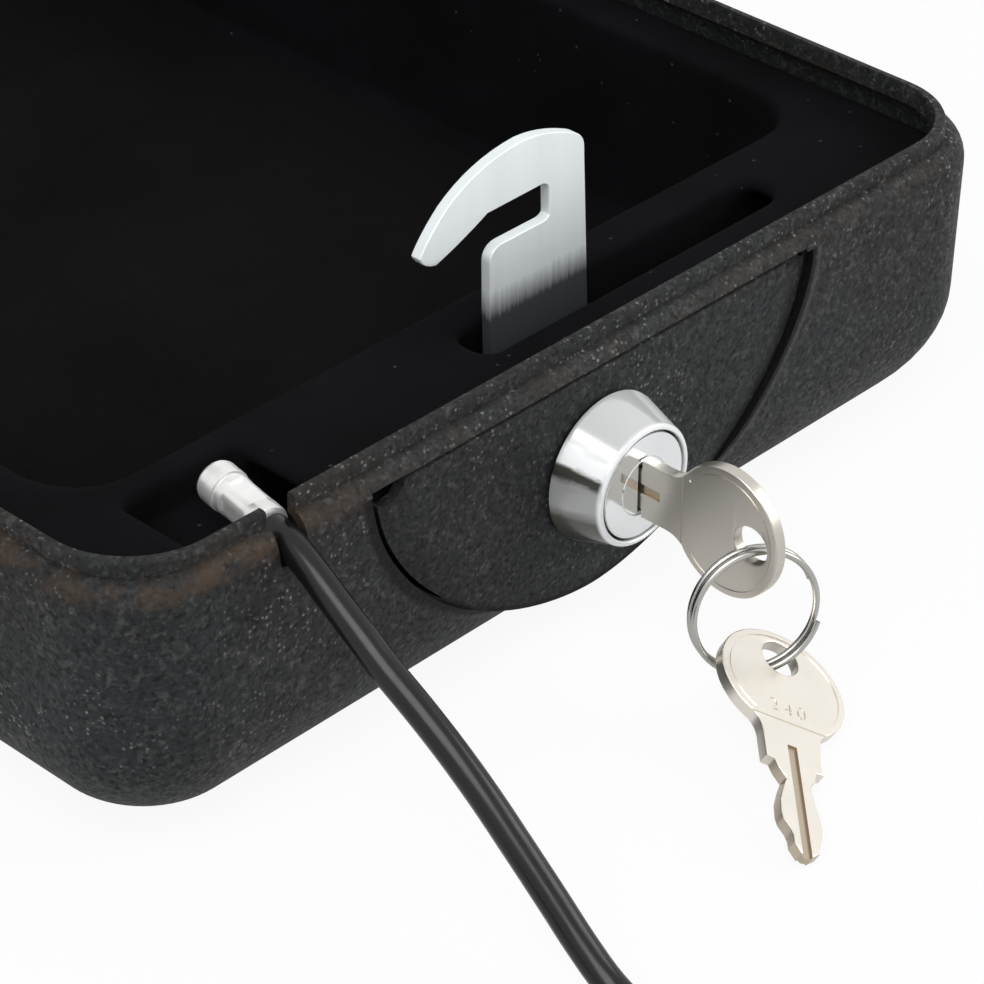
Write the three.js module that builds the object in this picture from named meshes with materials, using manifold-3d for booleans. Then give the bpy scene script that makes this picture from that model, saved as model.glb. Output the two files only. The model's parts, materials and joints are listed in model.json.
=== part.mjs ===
// A portable car safe: a pressed-steel clamshell case with a cam lock in the short front side, two keys
// on a split ring, a moulded liner and a coated security cable that is trapped behind a notch in the rim.
// Millimetres, +Z up. The origin is the middle of the flat bottom, the lock is on the -Y side, X runs right.
import * as THREE from 'three';
import { mergeVertices } from 'three/addons/utils/BufferGeometryUtils.js';
import Module from 'manifold-3d';

const wasm = await Module();
wasm.setup();

// Driving dimensions of the case
const CASE_WIDTH = 152;
const CASE_DEPTH = 221;
const CLOSED_HEIGHT = 66;
const SHEET = 1.2;
const GAP = 0.3;
const CORNER_RADIUS = 12.5;
const BOTTOM_RADIUS = 14;
const WALL_DRAFT = 0.016;
const RIM_HEIGHT = 41.3;
const SHOULDER_HEIGHT = 35.4;
const SHOULDER_RISE = 3.8;
const NECK_INSET = 2.1;
const FRONT = -CASE_DEPTH / 2;
const BACK = CASE_DEPTH / 2;

// Cam lock
const LOCK_X = -0.5;
const LOCK_Z = 23.3;
const TRIM_BASE_RADIUS = 9.7;
const TRIM_FACE_RADIUS = 8;
const TRIM_LENGTH = 6.7;
const DISC_RADIUS = 6.9;
const DISC_THICKNESS = 1.3;
const BARREL_RADIUS = 5;
const PLUG_RADIUS = 3.8;
const NUT_FLATS = 13.2;
const NUT_THICKNESS = 2.6;
const TAIL_SIDE = 5;
const STUD_RADIUS = 1.4;
const HOOK_PLANE = 15.3;
const HOOK_THICKNESS = 1.5;
const HOOK_HUB_RADIUS = 6.6;
const HOOK_REACH = 37.4;
const CAM_NUT_FLATS = 6.4;
const CAM_NUT_THICKNESS = 1.8;

// Flat half-oval pad for the lock: it is sheared free along its top edge, lies in a shallow trough in the
// wall and stands out from the rounded foot
const PAD_HALF_WIDTH = 38.2;
const PAD_HEIGHT = 31.2;
const PAD_TOP = SHOULDER_HEIGHT + 1.5;
const PAD_RECESS = 0.3;
const PAD_TROUGH = 0.5;
const PAD_TROUGH_WIDTH = 6;
const PAD_OVERLAP = 0.2;
const SLIT_WIDTH = 0.5;
const SLIT_TOP = PAD_TOP + SLIT_WIDTH;
const SLIT_HALF_LENGTH = PAD_HALF_WIDTH - 1;
const SLIT_END_LENGTH = 4;
const SLIT_END_WIDTH = 1.4;

// The notch in the rim that the cable leaves by
const NOTCH_X = -51.1;

// Liner
const LEDGE_TOP = 35.7;
const LINER_WALL = 2;
const POCKET_X = 2.5;
const POCKET_HALF_WIDTH = 64;
const POCKET_FRONT = 25;
const POCKET_BACK_MARGIN = 12;
const POCKET_HALF_DEPTH = (CASE_DEPTH - POCKET_FRONT - POCKET_BACK_MARGIN) / 2;
const POCKET_FLOOR = 6;
const POCKET_RADIUS = 9;
const SLOT_FRONT = HOOK_PLANE - 2;
const SLOT_BACK = HOOK_PLANE + 4.1;
const SLOT_LEFT = LOCK_X - 6.1;
const SLOT_RIGHT = LOCK_X + 47.7;
const NICHE_LEFT = NOTCH_X - 6.9;
const NICHE_RIGHT = NOTCH_X + 10.6;
const NICHE_BACK = 21.6;
const MAT_THICKNESS = 2.5;
const MAT_MARGIN = 4.5;
const LINING_THICKNESS = 2;
const LINING_MARGIN = 20;
const LINING_FRONT_MARGIN = 48.5;
const LINING_RADIUS = 8;

// Cable, its fittings and its coil
const CABLE_DIAMETER = 3.7;
const CABLE_RADIUS = CABLE_DIAMETER / 2;
const CABLE_HEIGHT = 36.9;
const NOTCH_HEIGHT = CABLE_HEIGHT - 1.3;
const FERRULE_RADIUS = 2.5;
const FERRULE_LENGTH = 11.5;
const COIL_TURNS_EACH_WAY = 2.5;
const COIL_OUTER_RADIUS = 26;
const COIL_PITCH = CABLE_DIAMETER + 0.6;
const COIL_STEPS_A_TURN = 24;
const COIL_SIDES = 6;
const COIL_X = -52.4 - COIL_OUTER_RADIUS;
const COIL_Y = FRONT - 79;
const EYE_RADIUS = 8;
const SLEEVE_LENGTH = 10;
const TAIL_LENGTH = 14;

// Keys and ring
const KEY_THICKNESS = 1.6;
const BOW_HALF_LENGTH = 8;
const BOW_HALF_WIDTH = 8.6;
const BOW_CHORD = 6.5;
const NECK_HALF_WIDTH = 4;
const KEY_HOLE_OFFSET = -3.9;
const KEY_HOLE_RADIUS = 2.5;
const KEY_STOP = 13;
const BLADE_LENGTH = 14;
const RING_WIRE_RADIUS = 0.42;
const RING_RADIUS = 7.8;
const RING_PITCH = 1.15;
const RING_TURNS = 1.9;
const RING_SAG = 1.15;

// Hinge
const HINGE_AXIS_Y = BACK + 2.9;
const HINGE_AXIS_Z = SHOULDER_HEIGHT + SHOULDER_RISE + 0.2;
const HINGE_LENGTH = 96;
const HINGE_KNUCKLES = 5;
const KNUCKLE_RADIUS = 2.4;
const PIN_RADIUS = 1.2;
const LEAF_HEIGHT = 17;
const RIVET_END_DISTANCE = 15;
const RIVET_SPACING = HINGE_LENGTH - 2 * RIVET_END_DISTANCE;
const RIVET_RADIUS = 1.6;
const LID_OPEN_ANGLE = 105;

// Keeper under the lid
const KEEPER_BAR_RADIUS = 1;
const KEEPER_X = LOCK_X;
const KEEPER_Z = LOCK_Z + 26.9;

const materials = {
  powderCoat: { color: 0x2b2a29, roughness: 0.62, metalness: 0.1 },
  liner: { color: 0x1d1b1b, roughness: 0.95, metalness: 0 },
  foam: { color: 0x232122, roughness: 1, metalness: 0 },
  zinc: { color: 0xcfd6df, roughness: 0.34, metalness: 0.9 },
  chrome: { color: 0xdfe3e6, roughness: 0.1, metalness: 1 },
  steel: { color: 0x9b9c9c, roughness: 0.35, metalness: 0.95 },
  nickel: { color: 0xc3beb2, roughness: 0.27, metalness: 0.95 },
  ferrule: { color: 0xdde0e2, roughness: 0.4, metalness: 0.85 },
  jacket: { color: 0x141415, roughness: 0.3, metalness: 0 },
};

function addMesh(parent, name, geometry, material) {
  const mesh = new THREE.Mesh(geometry, new THREE.MeshStandardMaterial(material));
  mesh.name = name;
  parent.add(mesh);
  return mesh;
}

// Turns a geometry into a solid for the boolean steps
function solid(geometry) {
  const bare = geometry.clone();
  bare.deleteAttribute('normal');
  bare.deleteAttribute('uv');
  const welded = mergeVertices(bare, 1e-4);
  return new wasm.Manifold(new wasm.Mesh({
    numProp: 3,
    vertProperties: Float32Array.from(welded.attributes.position.array),
    triVerts: Uint32Array.from(welded.index.array),
  }));
}

// Turns a solid back into a flat-shaded geometry
function geometryOf(manifold) {
  const mesh = manifold.getMesh();
  const indexed = new THREE.BufferGeometry();
  indexed.setAttribute('position', new THREE.BufferAttribute(Float32Array.from(mesh.vertProperties), 3));
  indexed.setIndex(new THREE.BufferAttribute(Uint32Array.from(mesh.triVerts), 1));
  const geometry = indexed.toNonIndexed();
  geometry.computeVertexNormals();
  return geometry;
}

function box(xMin, xMax, yMin, yMax, zMin, zMax) {
  const geometry = new THREE.BoxGeometry(xMax - xMin, yMax - yMin, zMax - zMin);
  return geometry.translate((xMin + xMax) / 2, (yMin + yMax) / 2, (zMin + zMax) / 2);
}

// A cylinder along Y from yMin to yMax
function rodY(radius, yMin, yMax, x, z, segments = 28) {
  const geometry = new THREE.CylinderGeometry(radius, radius, yMax - yMin, segments);
  return geometry.translate(x, (yMin + yMax) / 2, z);
}

// A cylinder along X from xMin to xMax
function rodX(radius, xMin, xMax, y, z, segments = 20) {
  const geometry = new THREE.CylinderGeometry(radius, radius, xMax - xMin, segments);
  return geometry.rotateZ(Math.PI / 2).translate((xMin + xMax) / 2, y, z);
}

// Skins a stack of rings that have the same count, and closes both ends with fans
function loft(rings) {
  const count = rings[0].length;
  const positions = rings.flat().flatMap((p) => [p.x, p.y, p.z]);
  const index = [];
  for (let level = 0; level + 1 < rings.length; level += 1) {
    for (let i = 0; i < count; i += 1) {
      const a = level * count + i;
      const b = level * count + (i + 1) % count;
      index.push(a, b, b + count, a, b + count, a + count);
    }
  }
  const last = (rings.length - 1) * count;
  for (let i = 1; i + 1 < count; i += 1) {
    index.push(0, i + 1, i);
    index.push(last, last + i, last + i + 1);
  }
  const geometry = new THREE.BufferGeometry();
  geometry.setAttribute('position', new THREE.Float32BufferAttribute(positions, 3));
  geometry.setIndex(index);
  const flat = geometry.toNonIndexed();
  flat.computeVertexNormals();
  return flat;
}

// Points of a rounded rectangle at one height, anticlockwise seen from above
function roundedRing(halfX, halfY, radius, z, steps = 7) {
  const points = [];
  const centres = [[1, -1, -90], [1, 1, 0], [-1, 1, 90], [-1, -1, 180]];
  for (const [sx, sy, start] of centres) {
    for (let i = 0; i <= steps; i += 1) {
      const angle = THREE.MathUtils.degToRad(start + (90 * i) / steps);
      points.push(new THREE.Vector3(
        sx * (halfX - radius) + radius * Math.cos(angle),
        sy * (halfY - radius) + radius * Math.sin(angle),
        z,
      ));
    }
  }
  return points;
}

// Height and inset of the case's skin from the flat bottom up to the full width
function pressedProfile(thickness) {
  const profile = [];
  const foot = WALL_DRAFT * (SHOULDER_HEIGHT - BOTTOM_RADIUS);
  const bend = BOTTOM_RADIUS - thickness;
  for (let i = 0; i <= 6; i += 1) {
    const angle = (Math.PI / 2) * (1 - i / 6);
    profile.push([BOTTOM_RADIUS - bend * Math.sin(angle), foot + BOTTOM_RADIUS - bend * Math.cos(angle)]);
  }
  return profile;
}

function stack(profile) {
  return loft(profile.map(([z, inset]) => roundedRing(
    CASE_WIDTH / 2 - inset,
    CASE_DEPTH / 2 - inset,
    Math.max(CORNER_RADIUS - inset, 2.5),
    z,
  )));
}

function baseSkin(thickness, top) {
  const profile = pressedProfile(thickness);
  for (let i = 0; i <= 4; i += 1) {
    const angle = (Math.PI / 2) * (i / 4);
    profile.push([
      SHOULDER_HEIGHT - thickness / 2 + SHOULDER_RISE * Math.sin(angle),
      thickness + NECK_INSET * (1 - Math.cos(angle)),
    ]);
  }
  profile.push([top, thickness + NECK_INSET]);
  return solid(stack(profile));
}

// The pad's outline at one depth: a half oval under a level top edge
function padRing(y, inset, top) {
  const steps = 24;
  return Array.from({ length: steps + 1 }, (unused, i) => {
    const angle = Math.PI * (1 + i / steps);
    return new THREE.Vector3(
      LOCK_X + (PAD_HALF_WIDTH - inset) * Math.cos(angle),
      y,
      top + (PAD_HEIGHT - inset) * Math.sin(angle),
    );
  });
}

// What the pad fills behind its face, and what it takes out of the wall before that
function padSolid(thickness) {
  const face = FRONT + thickness;
  const top = PAD_TOP + PAD_OVERLAP / 2;
  return solid(loft([
    padRing(FRONT + BOTTOM_RADIUS, thickness - PAD_OVERLAP, top),
    padRing(face + PAD_TROUGH, thickness - PAD_OVERLAP, top),
    padRing(face + PAD_RECESS, thickness + PAD_TROUGH_WIDTH, top),
  ]));
}

function padRoom(thickness) {
  return solid(loft([
    padRing(FRONT + BOTTOM_RADIUS, thickness, PAD_TOP),
    padRing(FRONT - 1, thickness, PAD_TOP),
  ]));
}

// The pressed base with its lock pad, the slit above it, the cable notch and the lock and rivet holes
function makeBaseShell() {
  const outer = baseSkin(0, RIM_HEIGHT).subtract(padRoom(0)).add(padSolid(0));
  const inner = baseSkin(SHEET, RIM_HEIGHT + 2).subtract(padRoom(SHEET)).add(padSolid(SHEET));
  let shell = outer.subtract(inner);
  shell = shell.subtract(solid(box(LOCK_X - SLIT_HALF_LENGTH, LOCK_X + SLIT_HALF_LENGTH, FRONT - 1, FRONT + 3,
    PAD_TOP, SLIT_TOP)));
  for (const side of [-1, 1]) {
    const middle = LOCK_X + side * (SLIT_HALF_LENGTH - SLIT_END_LENGTH / 2);
    shell = shell.subtract(solid(box(middle - SLIT_END_LENGTH / 2, middle + SLIT_END_LENGTH / 2, FRONT - 1,
      FRONT + 3, SLIT_TOP - SLIT_END_WIDTH, SLIT_TOP)));
  }
  const notchRadius = CABLE_RADIUS + GAP;
  const notchTop = solid(box(NOTCH_X - notchRadius, NOTCH_X + notchRadius, FRONT - 1, FRONT + 6,
    NOTCH_HEIGHT, RIM_HEIGHT + 1));
  const notchRound = solid(rodY(notchRadius, FRONT - 1, FRONT + 6, NOTCH_X, NOTCH_HEIGHT, 20));
  shell = shell.subtract(notchTop).subtract(notchRound);
  shell = shell.subtract(solid(rodY(BARREL_RADIUS + GAP, FRONT - 1, FRONT + 3, LOCK_X, LOCK_Z)));
  for (const x of [-RIVET_SPACING / 2, RIVET_SPACING / 2]) {
    shell = shell.subtract(solid(rodY(RIVET_RADIUS + GAP, BACK - 4, BACK + 1, x, rivetHeight(-1), 16)));
  }
  return geometryOf(shell);
}

// The lid's rivets sit at the top of its straight wall, the base's at the middle of their leaf
function rivetHeight(side) {
  return side > 0 ? CLOSED_HEIGHT - BOTTOM_RADIUS - 0.85 : HINGE_AXIS_Z - KNUCKLE_RADIUS - LEAF_HEIGHT * 0.55;
}

// The lid in its closed place: a mirrored pressing with a straight skirt that goes over the neck
function makeLidShell() {
  const skirt = HINGE_AXIS_Z;
  const flip = ([z, inset]) => [CLOSED_HEIGHT - z, inset];
  const outerProfile = [[skirt, 0], ...pressedProfile(0).map(flip).reverse()];
  const innerProfile = [[skirt - 1, SHEET], ...pressedProfile(SHEET).map(flip).reverse()];
  let shell = solid(stack(outerProfile)).subtract(solid(stack(innerProfile)));
  for (const x of [-RIVET_SPACING / 2, RIVET_SPACING / 2]) {
    shell = shell.subtract(solid(rodY(RIVET_RADIUS + GAP, BACK - 4, BACK + 1, x, rivetHeight(1), 16)));
  }
  for (const x of KEEPER_RIVETS) {
    shell = shell.subtract(keeperRivetHole(x, CLOSED_HEIGHT));
  }
  return geometryOf(shell);
}

// The moulded liner: a ledge round a deep pocket, hollow under the ledge at the front where the lock is
function makeLiner() {
  const wallInset = SHEET + GAP + 0.5;
  const profile = pressedProfile(wallInset);
  profile.push([LEDGE_TOP, wallInset + 0.2]);
  let liner = solid(stack(profile));
  liner = liner.subtract(makePocket());
  liner = liner.subtract(solid(box(-58, 60, FRONT - 1, FRONT + SLOT_BACK, -1, LEDGE_TOP - LINER_WALL)));
  liner = liner.subtract(solid(box(-58, 60, BACK - 10, BACK + 1, -1, LEDGE_TOP - LINER_WALL)));
  liner = liner.subtract(makeSlot());
  liner = liner.subtract(solid(box(NICHE_LEFT, NICHE_RIGHT, FRONT - 1, FRONT + NICHE_BACK,
    LEDGE_TOP - 6.2, LEDGE_TOP + 1)));
  liner = liner.add(solid(box(NICHE_LEFT - 1.5, NICHE_RIGHT + 1.5, FRONT + 3.2, FRONT + NICHE_BACK + 1,
    LEDGE_TOP - 8, LEDGE_TOP - 6.2)));
  return geometryOf(liner);
}

function makePocket() {
  const halfDepth = POCKET_HALF_DEPTH;
  const middle = FRONT + POCKET_FRONT + halfDepth;
  const rings = [[POCKET_FLOOR, 3.5], [POCKET_FLOOR + 0.9, 1.6], [POCKET_FLOOR + 3, 0.7], [LEDGE_TOP - 1.2, 0.2],
    [LEDGE_TOP - 0.35, 0.2], [LEDGE_TOP, -0.5], [LEDGE_TOP + 1, -0.5]];
  const geometry = loft(rings.map(([z, inset]) => roundedRing(
    POCKET_HALF_WIDTH - inset,
    halfDepth - inset,
    POCKET_RADIUS - inset,
    z,
    6,
  )));
  return solid(geometry.translate(POCKET_X, middle, 0));
}

// The slot that lets the hook stand up through the ledge and swing down to the right
function makeSlot() {
  const radius = 2.2;
  const halfX = (SLOT_RIGHT - SLOT_LEFT) / 2;
  const halfY = (SLOT_BACK - SLOT_FRONT) / 2;
  const rings = [[LEDGE_TOP - 4, 0], [LEDGE_TOP + 1, 0]];
  const geometry = loft(rings.map(([z, inset]) => roundedRing(halfX - inset, halfY - inset, radius, z, 4)));
  return solid(geometry.translate(SLOT_LEFT + halfX, FRONT + SLOT_FRONT + halfY, 0));
}

function makeMat() {
  const halfDepth = POCKET_HALF_DEPTH - MAT_MARGIN;
  const halfWidth = POCKET_HALF_WIDTH - MAT_MARGIN;
  const bottom = POCKET_FLOOR + GAP;
  const rings = [[bottom, 0], [bottom + MAT_THICKNESS - 0.5, 0], [bottom + MAT_THICKNESS, 0.5]];
  const geometry = loft(rings.map(([z, inset]) => roundedRing(halfWidth - inset, halfDepth - inset, 5, z, 4)));
  return geometry.translate(POCKET_X, FRONT + POCKET_FRONT + POCKET_HALF_DEPTH, 0);
}

function makeLidLining() {
  const top = CLOSED_HEIGHT - SHEET - GAP;
  const halfWidth = CASE_WIDTH / 2 - LINING_MARGIN;
  const halfDepth = (CASE_DEPTH - LINING_MARGIN - LINING_FRONT_MARGIN) / 2;
  const rings = [[top - LINING_THICKNESS, 1], [top - LINING_THICKNESS * 0.7, 0], [top, 0]];
  const geometry = loft(rings.map(([z, inset]) => roundedRing(
    halfWidth - inset,
    halfDepth - inset,
    LINING_RADIUS,
    z,
    4,
  )));
  return geometry.translate(0, FRONT + LINING_FRONT_MARGIN + halfDepth, 0);
}

// Extrudes an outline that is drawn in X and Z, from yMin towards +Y
function plateXZ(shape, yMin, thickness, curveSegments = 8) {
  const geometry = new THREE.ExtrudeGeometry(shape, { depth: thickness, bevelEnabled: false, curveSegments });
  return geometry.rotateX(Math.PI / 2).translate(0, yMin + thickness, 0);
}

// Turns a closed profile, pairs of radius and distance behind the case's front, about the lock's axis
function lockTurned(profile, segments) {
  const points = profile.map(([radius, y]) => new THREE.Vector2(radius, y));
  const area = THREE.ShapeUtils.area(points);
  const ordered = area < 0 ? points.reverse() : points;
  const geometry = new THREE.LatheGeometry([...ordered, ordered[0]], segments);
  return geometry.translate(LOCK_X, FRONT, LOCK_Z);
}

const PAD_FACE = PAD_RECESS;
const TRIM_BACK = PAD_FACE - GAP;
const TRIM_FRONT = TRIM_BACK - TRIM_LENGTH;
const BARREL_FRONT = TRIM_FRONT + DISC_THICKNESS + 0.5;
const BARREL_BACK = HOOK_PLANE - 0.9;
const WASHER_THICKNESS = 0.6;
const WASHER_START = PAD_FACE + SHEET + GAP;
const NUT_START = WASHER_START + WASHER_THICKNESS + GAP;

// The polished cone round the lock
function makeTrimRing() {
  const bore = DISC_RADIUS + GAP;
  return lockTurned([
    [bore, TRIM_BACK],
    [TRIM_BASE_RADIUS, TRIM_BACK],
    [TRIM_FACE_RADIUS, TRIM_FRONT + 0.4],
    [TRIM_FACE_RADIUS - 0.35, TRIM_FRONT],
    [bore, TRIM_FRONT],
  ], 48);
}

// The threaded barrel: a head inside the trim ring, then the shank through the pad
function makeBarrel() {
  const bore = PLUG_RADIUS + GAP;
  const thread = [];
  const threadStart = PAD_FACE + SHEET + 1;
  const pitch = 1.6;
  for (let y = threadStart; y + pitch < BARREL_BACK - 1; y += pitch) {
    thread.push([BARREL_RADIUS, y], [BARREL_RADIUS, y + pitch * 0.3], [BARREL_RADIUS - 0.45, y + pitch * 0.55],
      [BARREL_RADIUS - 0.45, y + pitch * 0.75]);
  }
  return lockTurned([
    [bore, BARREL_FRONT],
    [DISC_RADIUS - 0.1, BARREL_FRONT],
    [DISC_RADIUS - 0.1, TRIM_BACK - 0.1],
    [BARREL_RADIUS, TRIM_BACK - 0.1],
    ...thread,
    [BARREL_RADIUS - 0.45, BARREL_BACK],
    [bore, BARREL_BACK],
  ], 28);
}

// The plug: a flush disc, a shank in the barrel and a square tail through the hook
function makePlug() {
  const front = TRIM_FRONT + 0.15;
  const disc = lockTurned([[0, front], [DISC_RADIUS - 0.25, front], [DISC_RADIUS, front + 0.25],
    [DISC_RADIUS, front + DISC_THICKNESS], [PLUG_RADIUS, front + DISC_THICKNESS],
    [PLUG_RADIUS, BARREL_BACK + 0.4], [0, BARREL_BACK + 0.4]], 40);
  const tail = box(LOCK_X - TAIL_SIDE / 2, LOCK_X + TAIL_SIDE / 2, FRONT + BARREL_BACK, FRONT + HOOK_PLANE
    + HOOK_THICKNESS - 0.1, LOCK_Z - TAIL_SIDE / 2, LOCK_Z + TAIL_SIDE / 2);
  const stud = rodY(STUD_RADIUS, FRONT + BARREL_BACK, FRONT + HOOK_PLANE + HOOK_THICKNESS + 1.9, LOCK_X, LOCK_Z, 16);
  const slotHalf = KEY_THICKNESS / 2 + GAP;
  const slot = box(LOCK_X - slotHalf, LOCK_X + slotHalf, FRONT + front - 1, FRONT + front + 18,
    LOCK_Z - 3 - GAP, LOCK_Z + 3 + GAP);
  return geometryOf(solid(disc).add(solid(tail)).add(solid(stud)).subtract(solid(slot)));
}

function makeLockWasher() {
  return lockTurned([
    [BARREL_RADIUS + GAP, WASHER_START],
    [6.6, WASHER_START],
    [6.6, WASHER_START + WASHER_THICKNESS],
    [BARREL_RADIUS + GAP, WASHER_START + WASHER_THICKNESS],
  ], 32);
}

function makeHexNut(flats, thickness, bore, yMin, turn = 0) {
  const nut = new THREE.CylinderGeometry(flats / Math.sqrt(3), flats / Math.sqrt(3), thickness, 6);
  nut.rotateY(turn).translate(LOCK_X, FRONT + yMin + thickness / 2, LOCK_Z);
  return geometryOf(solid(nut).subtract(solid(rodY(bore, FRONT + yMin - 1, FRONT + yMin + thickness + 1,
    LOCK_X, LOCK_Z))));
}

function makeCamNut() {
  const start = HOOK_PLANE + HOOK_THICKNESS + GAP;
  return makeHexNut(CAM_NUT_FLATS, CAM_NUT_THICKNESS, STUD_RADIUS + GAP, start);
}

// The hook as it stands at rest: hub, leaning stem, throat open to the left and a drooping nose. Each row is
// a corner, or a curve's handle and its end, from the lock's axis and in parts of the hook's reach
const HOOK_OUTLINE = [
  [0.369, 0.205],
  [0.334, 0.875],
  [0.329, 0.917, 0.27, 0.941],
  [0.147, 0.997, 0.04, 1.0],
  [-0.161, 0.992, -0.297, 0.89],
  [-0.377, 0.821, -0.412, 0.762],
  [-0.398, 0.722, -0.34, 0.711],
  [-0.227, 0.746, -0.11, 0.802],
  [0.139, 0.805],
  [0.171, 0.799, 0.171, 0.773],
  [0.174, 0.682],
  [0.168, 0.668, 0.137, 0.668],
  [-0.04, 0.668],
  [-0.099, 0.665, -0.099, 0.607],
  [-0.067, 0.591],
  [-0.051, 0.292],
];

function makeHook() {
  const shape = new THREE.Shape();
  const x = (part) => LOCK_X + part * HOOK_REACH;
  const z = (part) => LOCK_Z + part * HOOK_REACH;
  const [first, ...rest] = HOOK_OUTLINE;
  shape.moveTo(x(first[0]), z(first[1]));
  for (const row of rest) {
    if (row.length === 2) {
      shape.lineTo(x(row[0]), z(row[1]));
    } else {
      shape.quadraticCurveTo(x(row[0]), z(row[1]), x(row[2]), z(row[3]));
    }
  }
  const hubTop = new THREE.Vector2(LOCK_X - HOOK_HUB_RADIUS * 0.42, LOCK_Z + HOOK_HUB_RADIUS * 0.9);
  shape.lineTo(hubTop.x, hubTop.y);
  const start = Math.atan2(hubTop.y - LOCK_Z, hubTop.x - LOCK_X);
  shape.absarc(LOCK_X, LOCK_Z, HOOK_HUB_RADIUS, start, Math.PI * 1.75, false);
  shape.lineTo(x(first[0]), z(0.152));
  const hole = new THREE.Path();
  const half = TAIL_SIDE / 2 + GAP;
  hole.moveTo(LOCK_X - half, LOCK_Z - half);
  hole.lineTo(LOCK_X + half, LOCK_Z - half);
  hole.lineTo(LOCK_X + half, LOCK_Z + half);
  hole.lineTo(LOCK_X - half, LOCK_Z + half);
  hole.closePath();
  shape.holes.push(hole);
  return plateXZ(shape, FRONT + HOOK_PLANE, HOOK_THICKNESS, 6);
}

// The edges of a key's blade, as distance past the shoulder and distance from the middle line
const BLADE_LEFT = [[0.1, 2.9], [1.2, 2.5], [2.5, 1.6], [4, 2.2], [6.2, 2.9], [8.2, 3], [9.2, 2.8], [10.3, 2],
  [11.2, 1.7], [12.3, 1.7], [13.6, 0.9], [BLADE_LENGTH, 0.4]];
const BLADE_RIGHT = [[BLADE_LENGTH - 0.2, -0.5], [12.9, -1.6], [11.8, -1.8], [10.3, -2.3], [8.9, -2.6],
  [6.9, -2.4], [5.6, -2.1], [3.8, -1.9], [2.7, -1.8], [1.5, -2.6], [0.1, -2.9]];

// A key drawn along +Y from the centre of its bow, flat in Y and Z, thickness along X
function makeKey() {
  const shape = new THREE.Shape();
  const chordAngle = Math.acos(BOW_CHORD / BOW_HALF_LENGTH);
  const start = Math.PI / 2 + chordAngle;
  const end = Math.PI / 2 - chordAngle + Math.PI * 2;
  shape.absellipse(0, 0, BOW_HALF_WIDTH, BOW_HALF_LENGTH, start, end, false);
  shape.quadraticCurveTo(NECK_HALF_WIDTH, BOW_CHORD + 1, NECK_HALF_WIDTH, BOW_CHORD + 2.6);
  shape.lineTo(NECK_HALF_WIDTH, KEY_STOP);
  for (const [along, across] of [...BLADE_LEFT, ...BLADE_RIGHT].reverse()) {
    shape.lineTo(-across, KEY_STOP + along);
  }
  shape.lineTo(-NECK_HALF_WIDTH, KEY_STOP);
  shape.lineTo(-NECK_HALF_WIDTH, BOW_CHORD + 2.6);
  shape.quadraticCurveTo(
    -NECK_HALF_WIDTH,
    BOW_CHORD + 1,
    BOW_HALF_WIDTH * Math.cos(start),
    BOW_HALF_LENGTH * Math.sin(start),
  );
  const hole = new THREE.Path();
  hole.absarc(0, KEY_HOLE_OFFSET, KEY_HOLE_RADIUS, 0, Math.PI * 2, true);
  shape.holes.push(hole);
  const geometry = new THREE.ExtrudeGeometry(shape, { depth: KEY_THICKNESS, bevelEnabled: false, curveSegments: 20 });
  geometry.translate(0, 0, -KEY_THICKNESS / 2);
  return geometry.rotateY(Math.PI / 2);
}

// Where the key in the lock has its hole, and the wire of the split ring that passes through it
const KEY_BOW_Y = FRONT + TRIM_FRONT + 0.15 - GAP - KEY_STOP;
const KEY_HOLE_Y = KEY_BOW_Y + KEY_HOLE_OFFSET;
const RING_TOP = new THREE.Vector3(LOCK_X, KEY_HOLE_Y, LOCK_Z - RING_SAG);
const RING_NORMAL = new THREE.Vector3(-0.47, -0.873, 0.13).normalize();
const RING_RIGHT = new THREE.Vector3(0, 0, 1).cross(RING_NORMAL).normalize();
const RING_UP = RING_NORMAL.clone().cross(RING_RIGHT).normalize();
const RING_CENTRE = RING_TOP.clone().addScaledVector(RING_UP, -RING_RADIUS);

// A point on the ring, at an angle measured from its lowest point round to the right
function ringPoint(angle, radius = RING_RADIUS, lift = 0) {
  return RING_CENTRE.clone()
    .addScaledVector(RING_RIGHT, radius * Math.sin(angle))
    .addScaledVector(RING_UP, -radius * Math.cos(angle))
    .addScaledVector(RING_NORMAL, lift);
}

// The split ring: nearly two turns of wire, side by side
function makeKeyRing() {
  const steps = 60;
  const points = [];
  for (let i = 0; i <= steps; i += 1) {
    const turn = (i / steps) * RING_TURNS;
    points.push(ringPoint(Math.PI * 2 * (turn + 0.3), RING_RADIUS, (turn / RING_TURNS - 0.5) * RING_PITCH * RING_TURNS));
  }
  return tube(points, RING_WIRE_RADIUS, 8, steps);
}

// The second key leans on the floor: its hole on the ring, its tip down and towards the viewer
const KEY_LEAN = THREE.MathUtils.degToRad(-9.9);
const KEY_ROLL = THREE.MathUtils.degToRad(30);
const KEY_HEADING = THREE.MathUtils.degToRad(226.8);
const KEY_RING_ANGLE = THREE.MathUtils.degToRad(20.5);

function secondKeyBasis() {
  const along = new THREE.Vector3(
    Math.cos(KEY_LEAN) * Math.cos(KEY_HEADING),
    Math.cos(KEY_LEAN) * Math.sin(KEY_HEADING),
    Math.sin(KEY_LEAN),
  );
  const level = along.clone().cross(new THREE.Vector3(0, 0, 1)).normalize();
  const rise = level.clone().cross(along);
  const across = level.multiplyScalar(Math.cos(KEY_ROLL)).addScaledVector(rise, Math.sin(KEY_ROLL));
  const normal = along.clone().cross(across);
  return { along, across, normal };
}

function placeSecondKey(key) {
  const { along, across, normal } = secondKeyBasis();
  key.quaternion.setFromRotationMatrix(new THREE.Matrix4().makeBasis(normal, along, across));
  key.position.copy(ringPoint(KEY_RING_ANGLE)).addScaledVector(along, -KEY_HOLE_OFFSET + 0.3);
}

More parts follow.
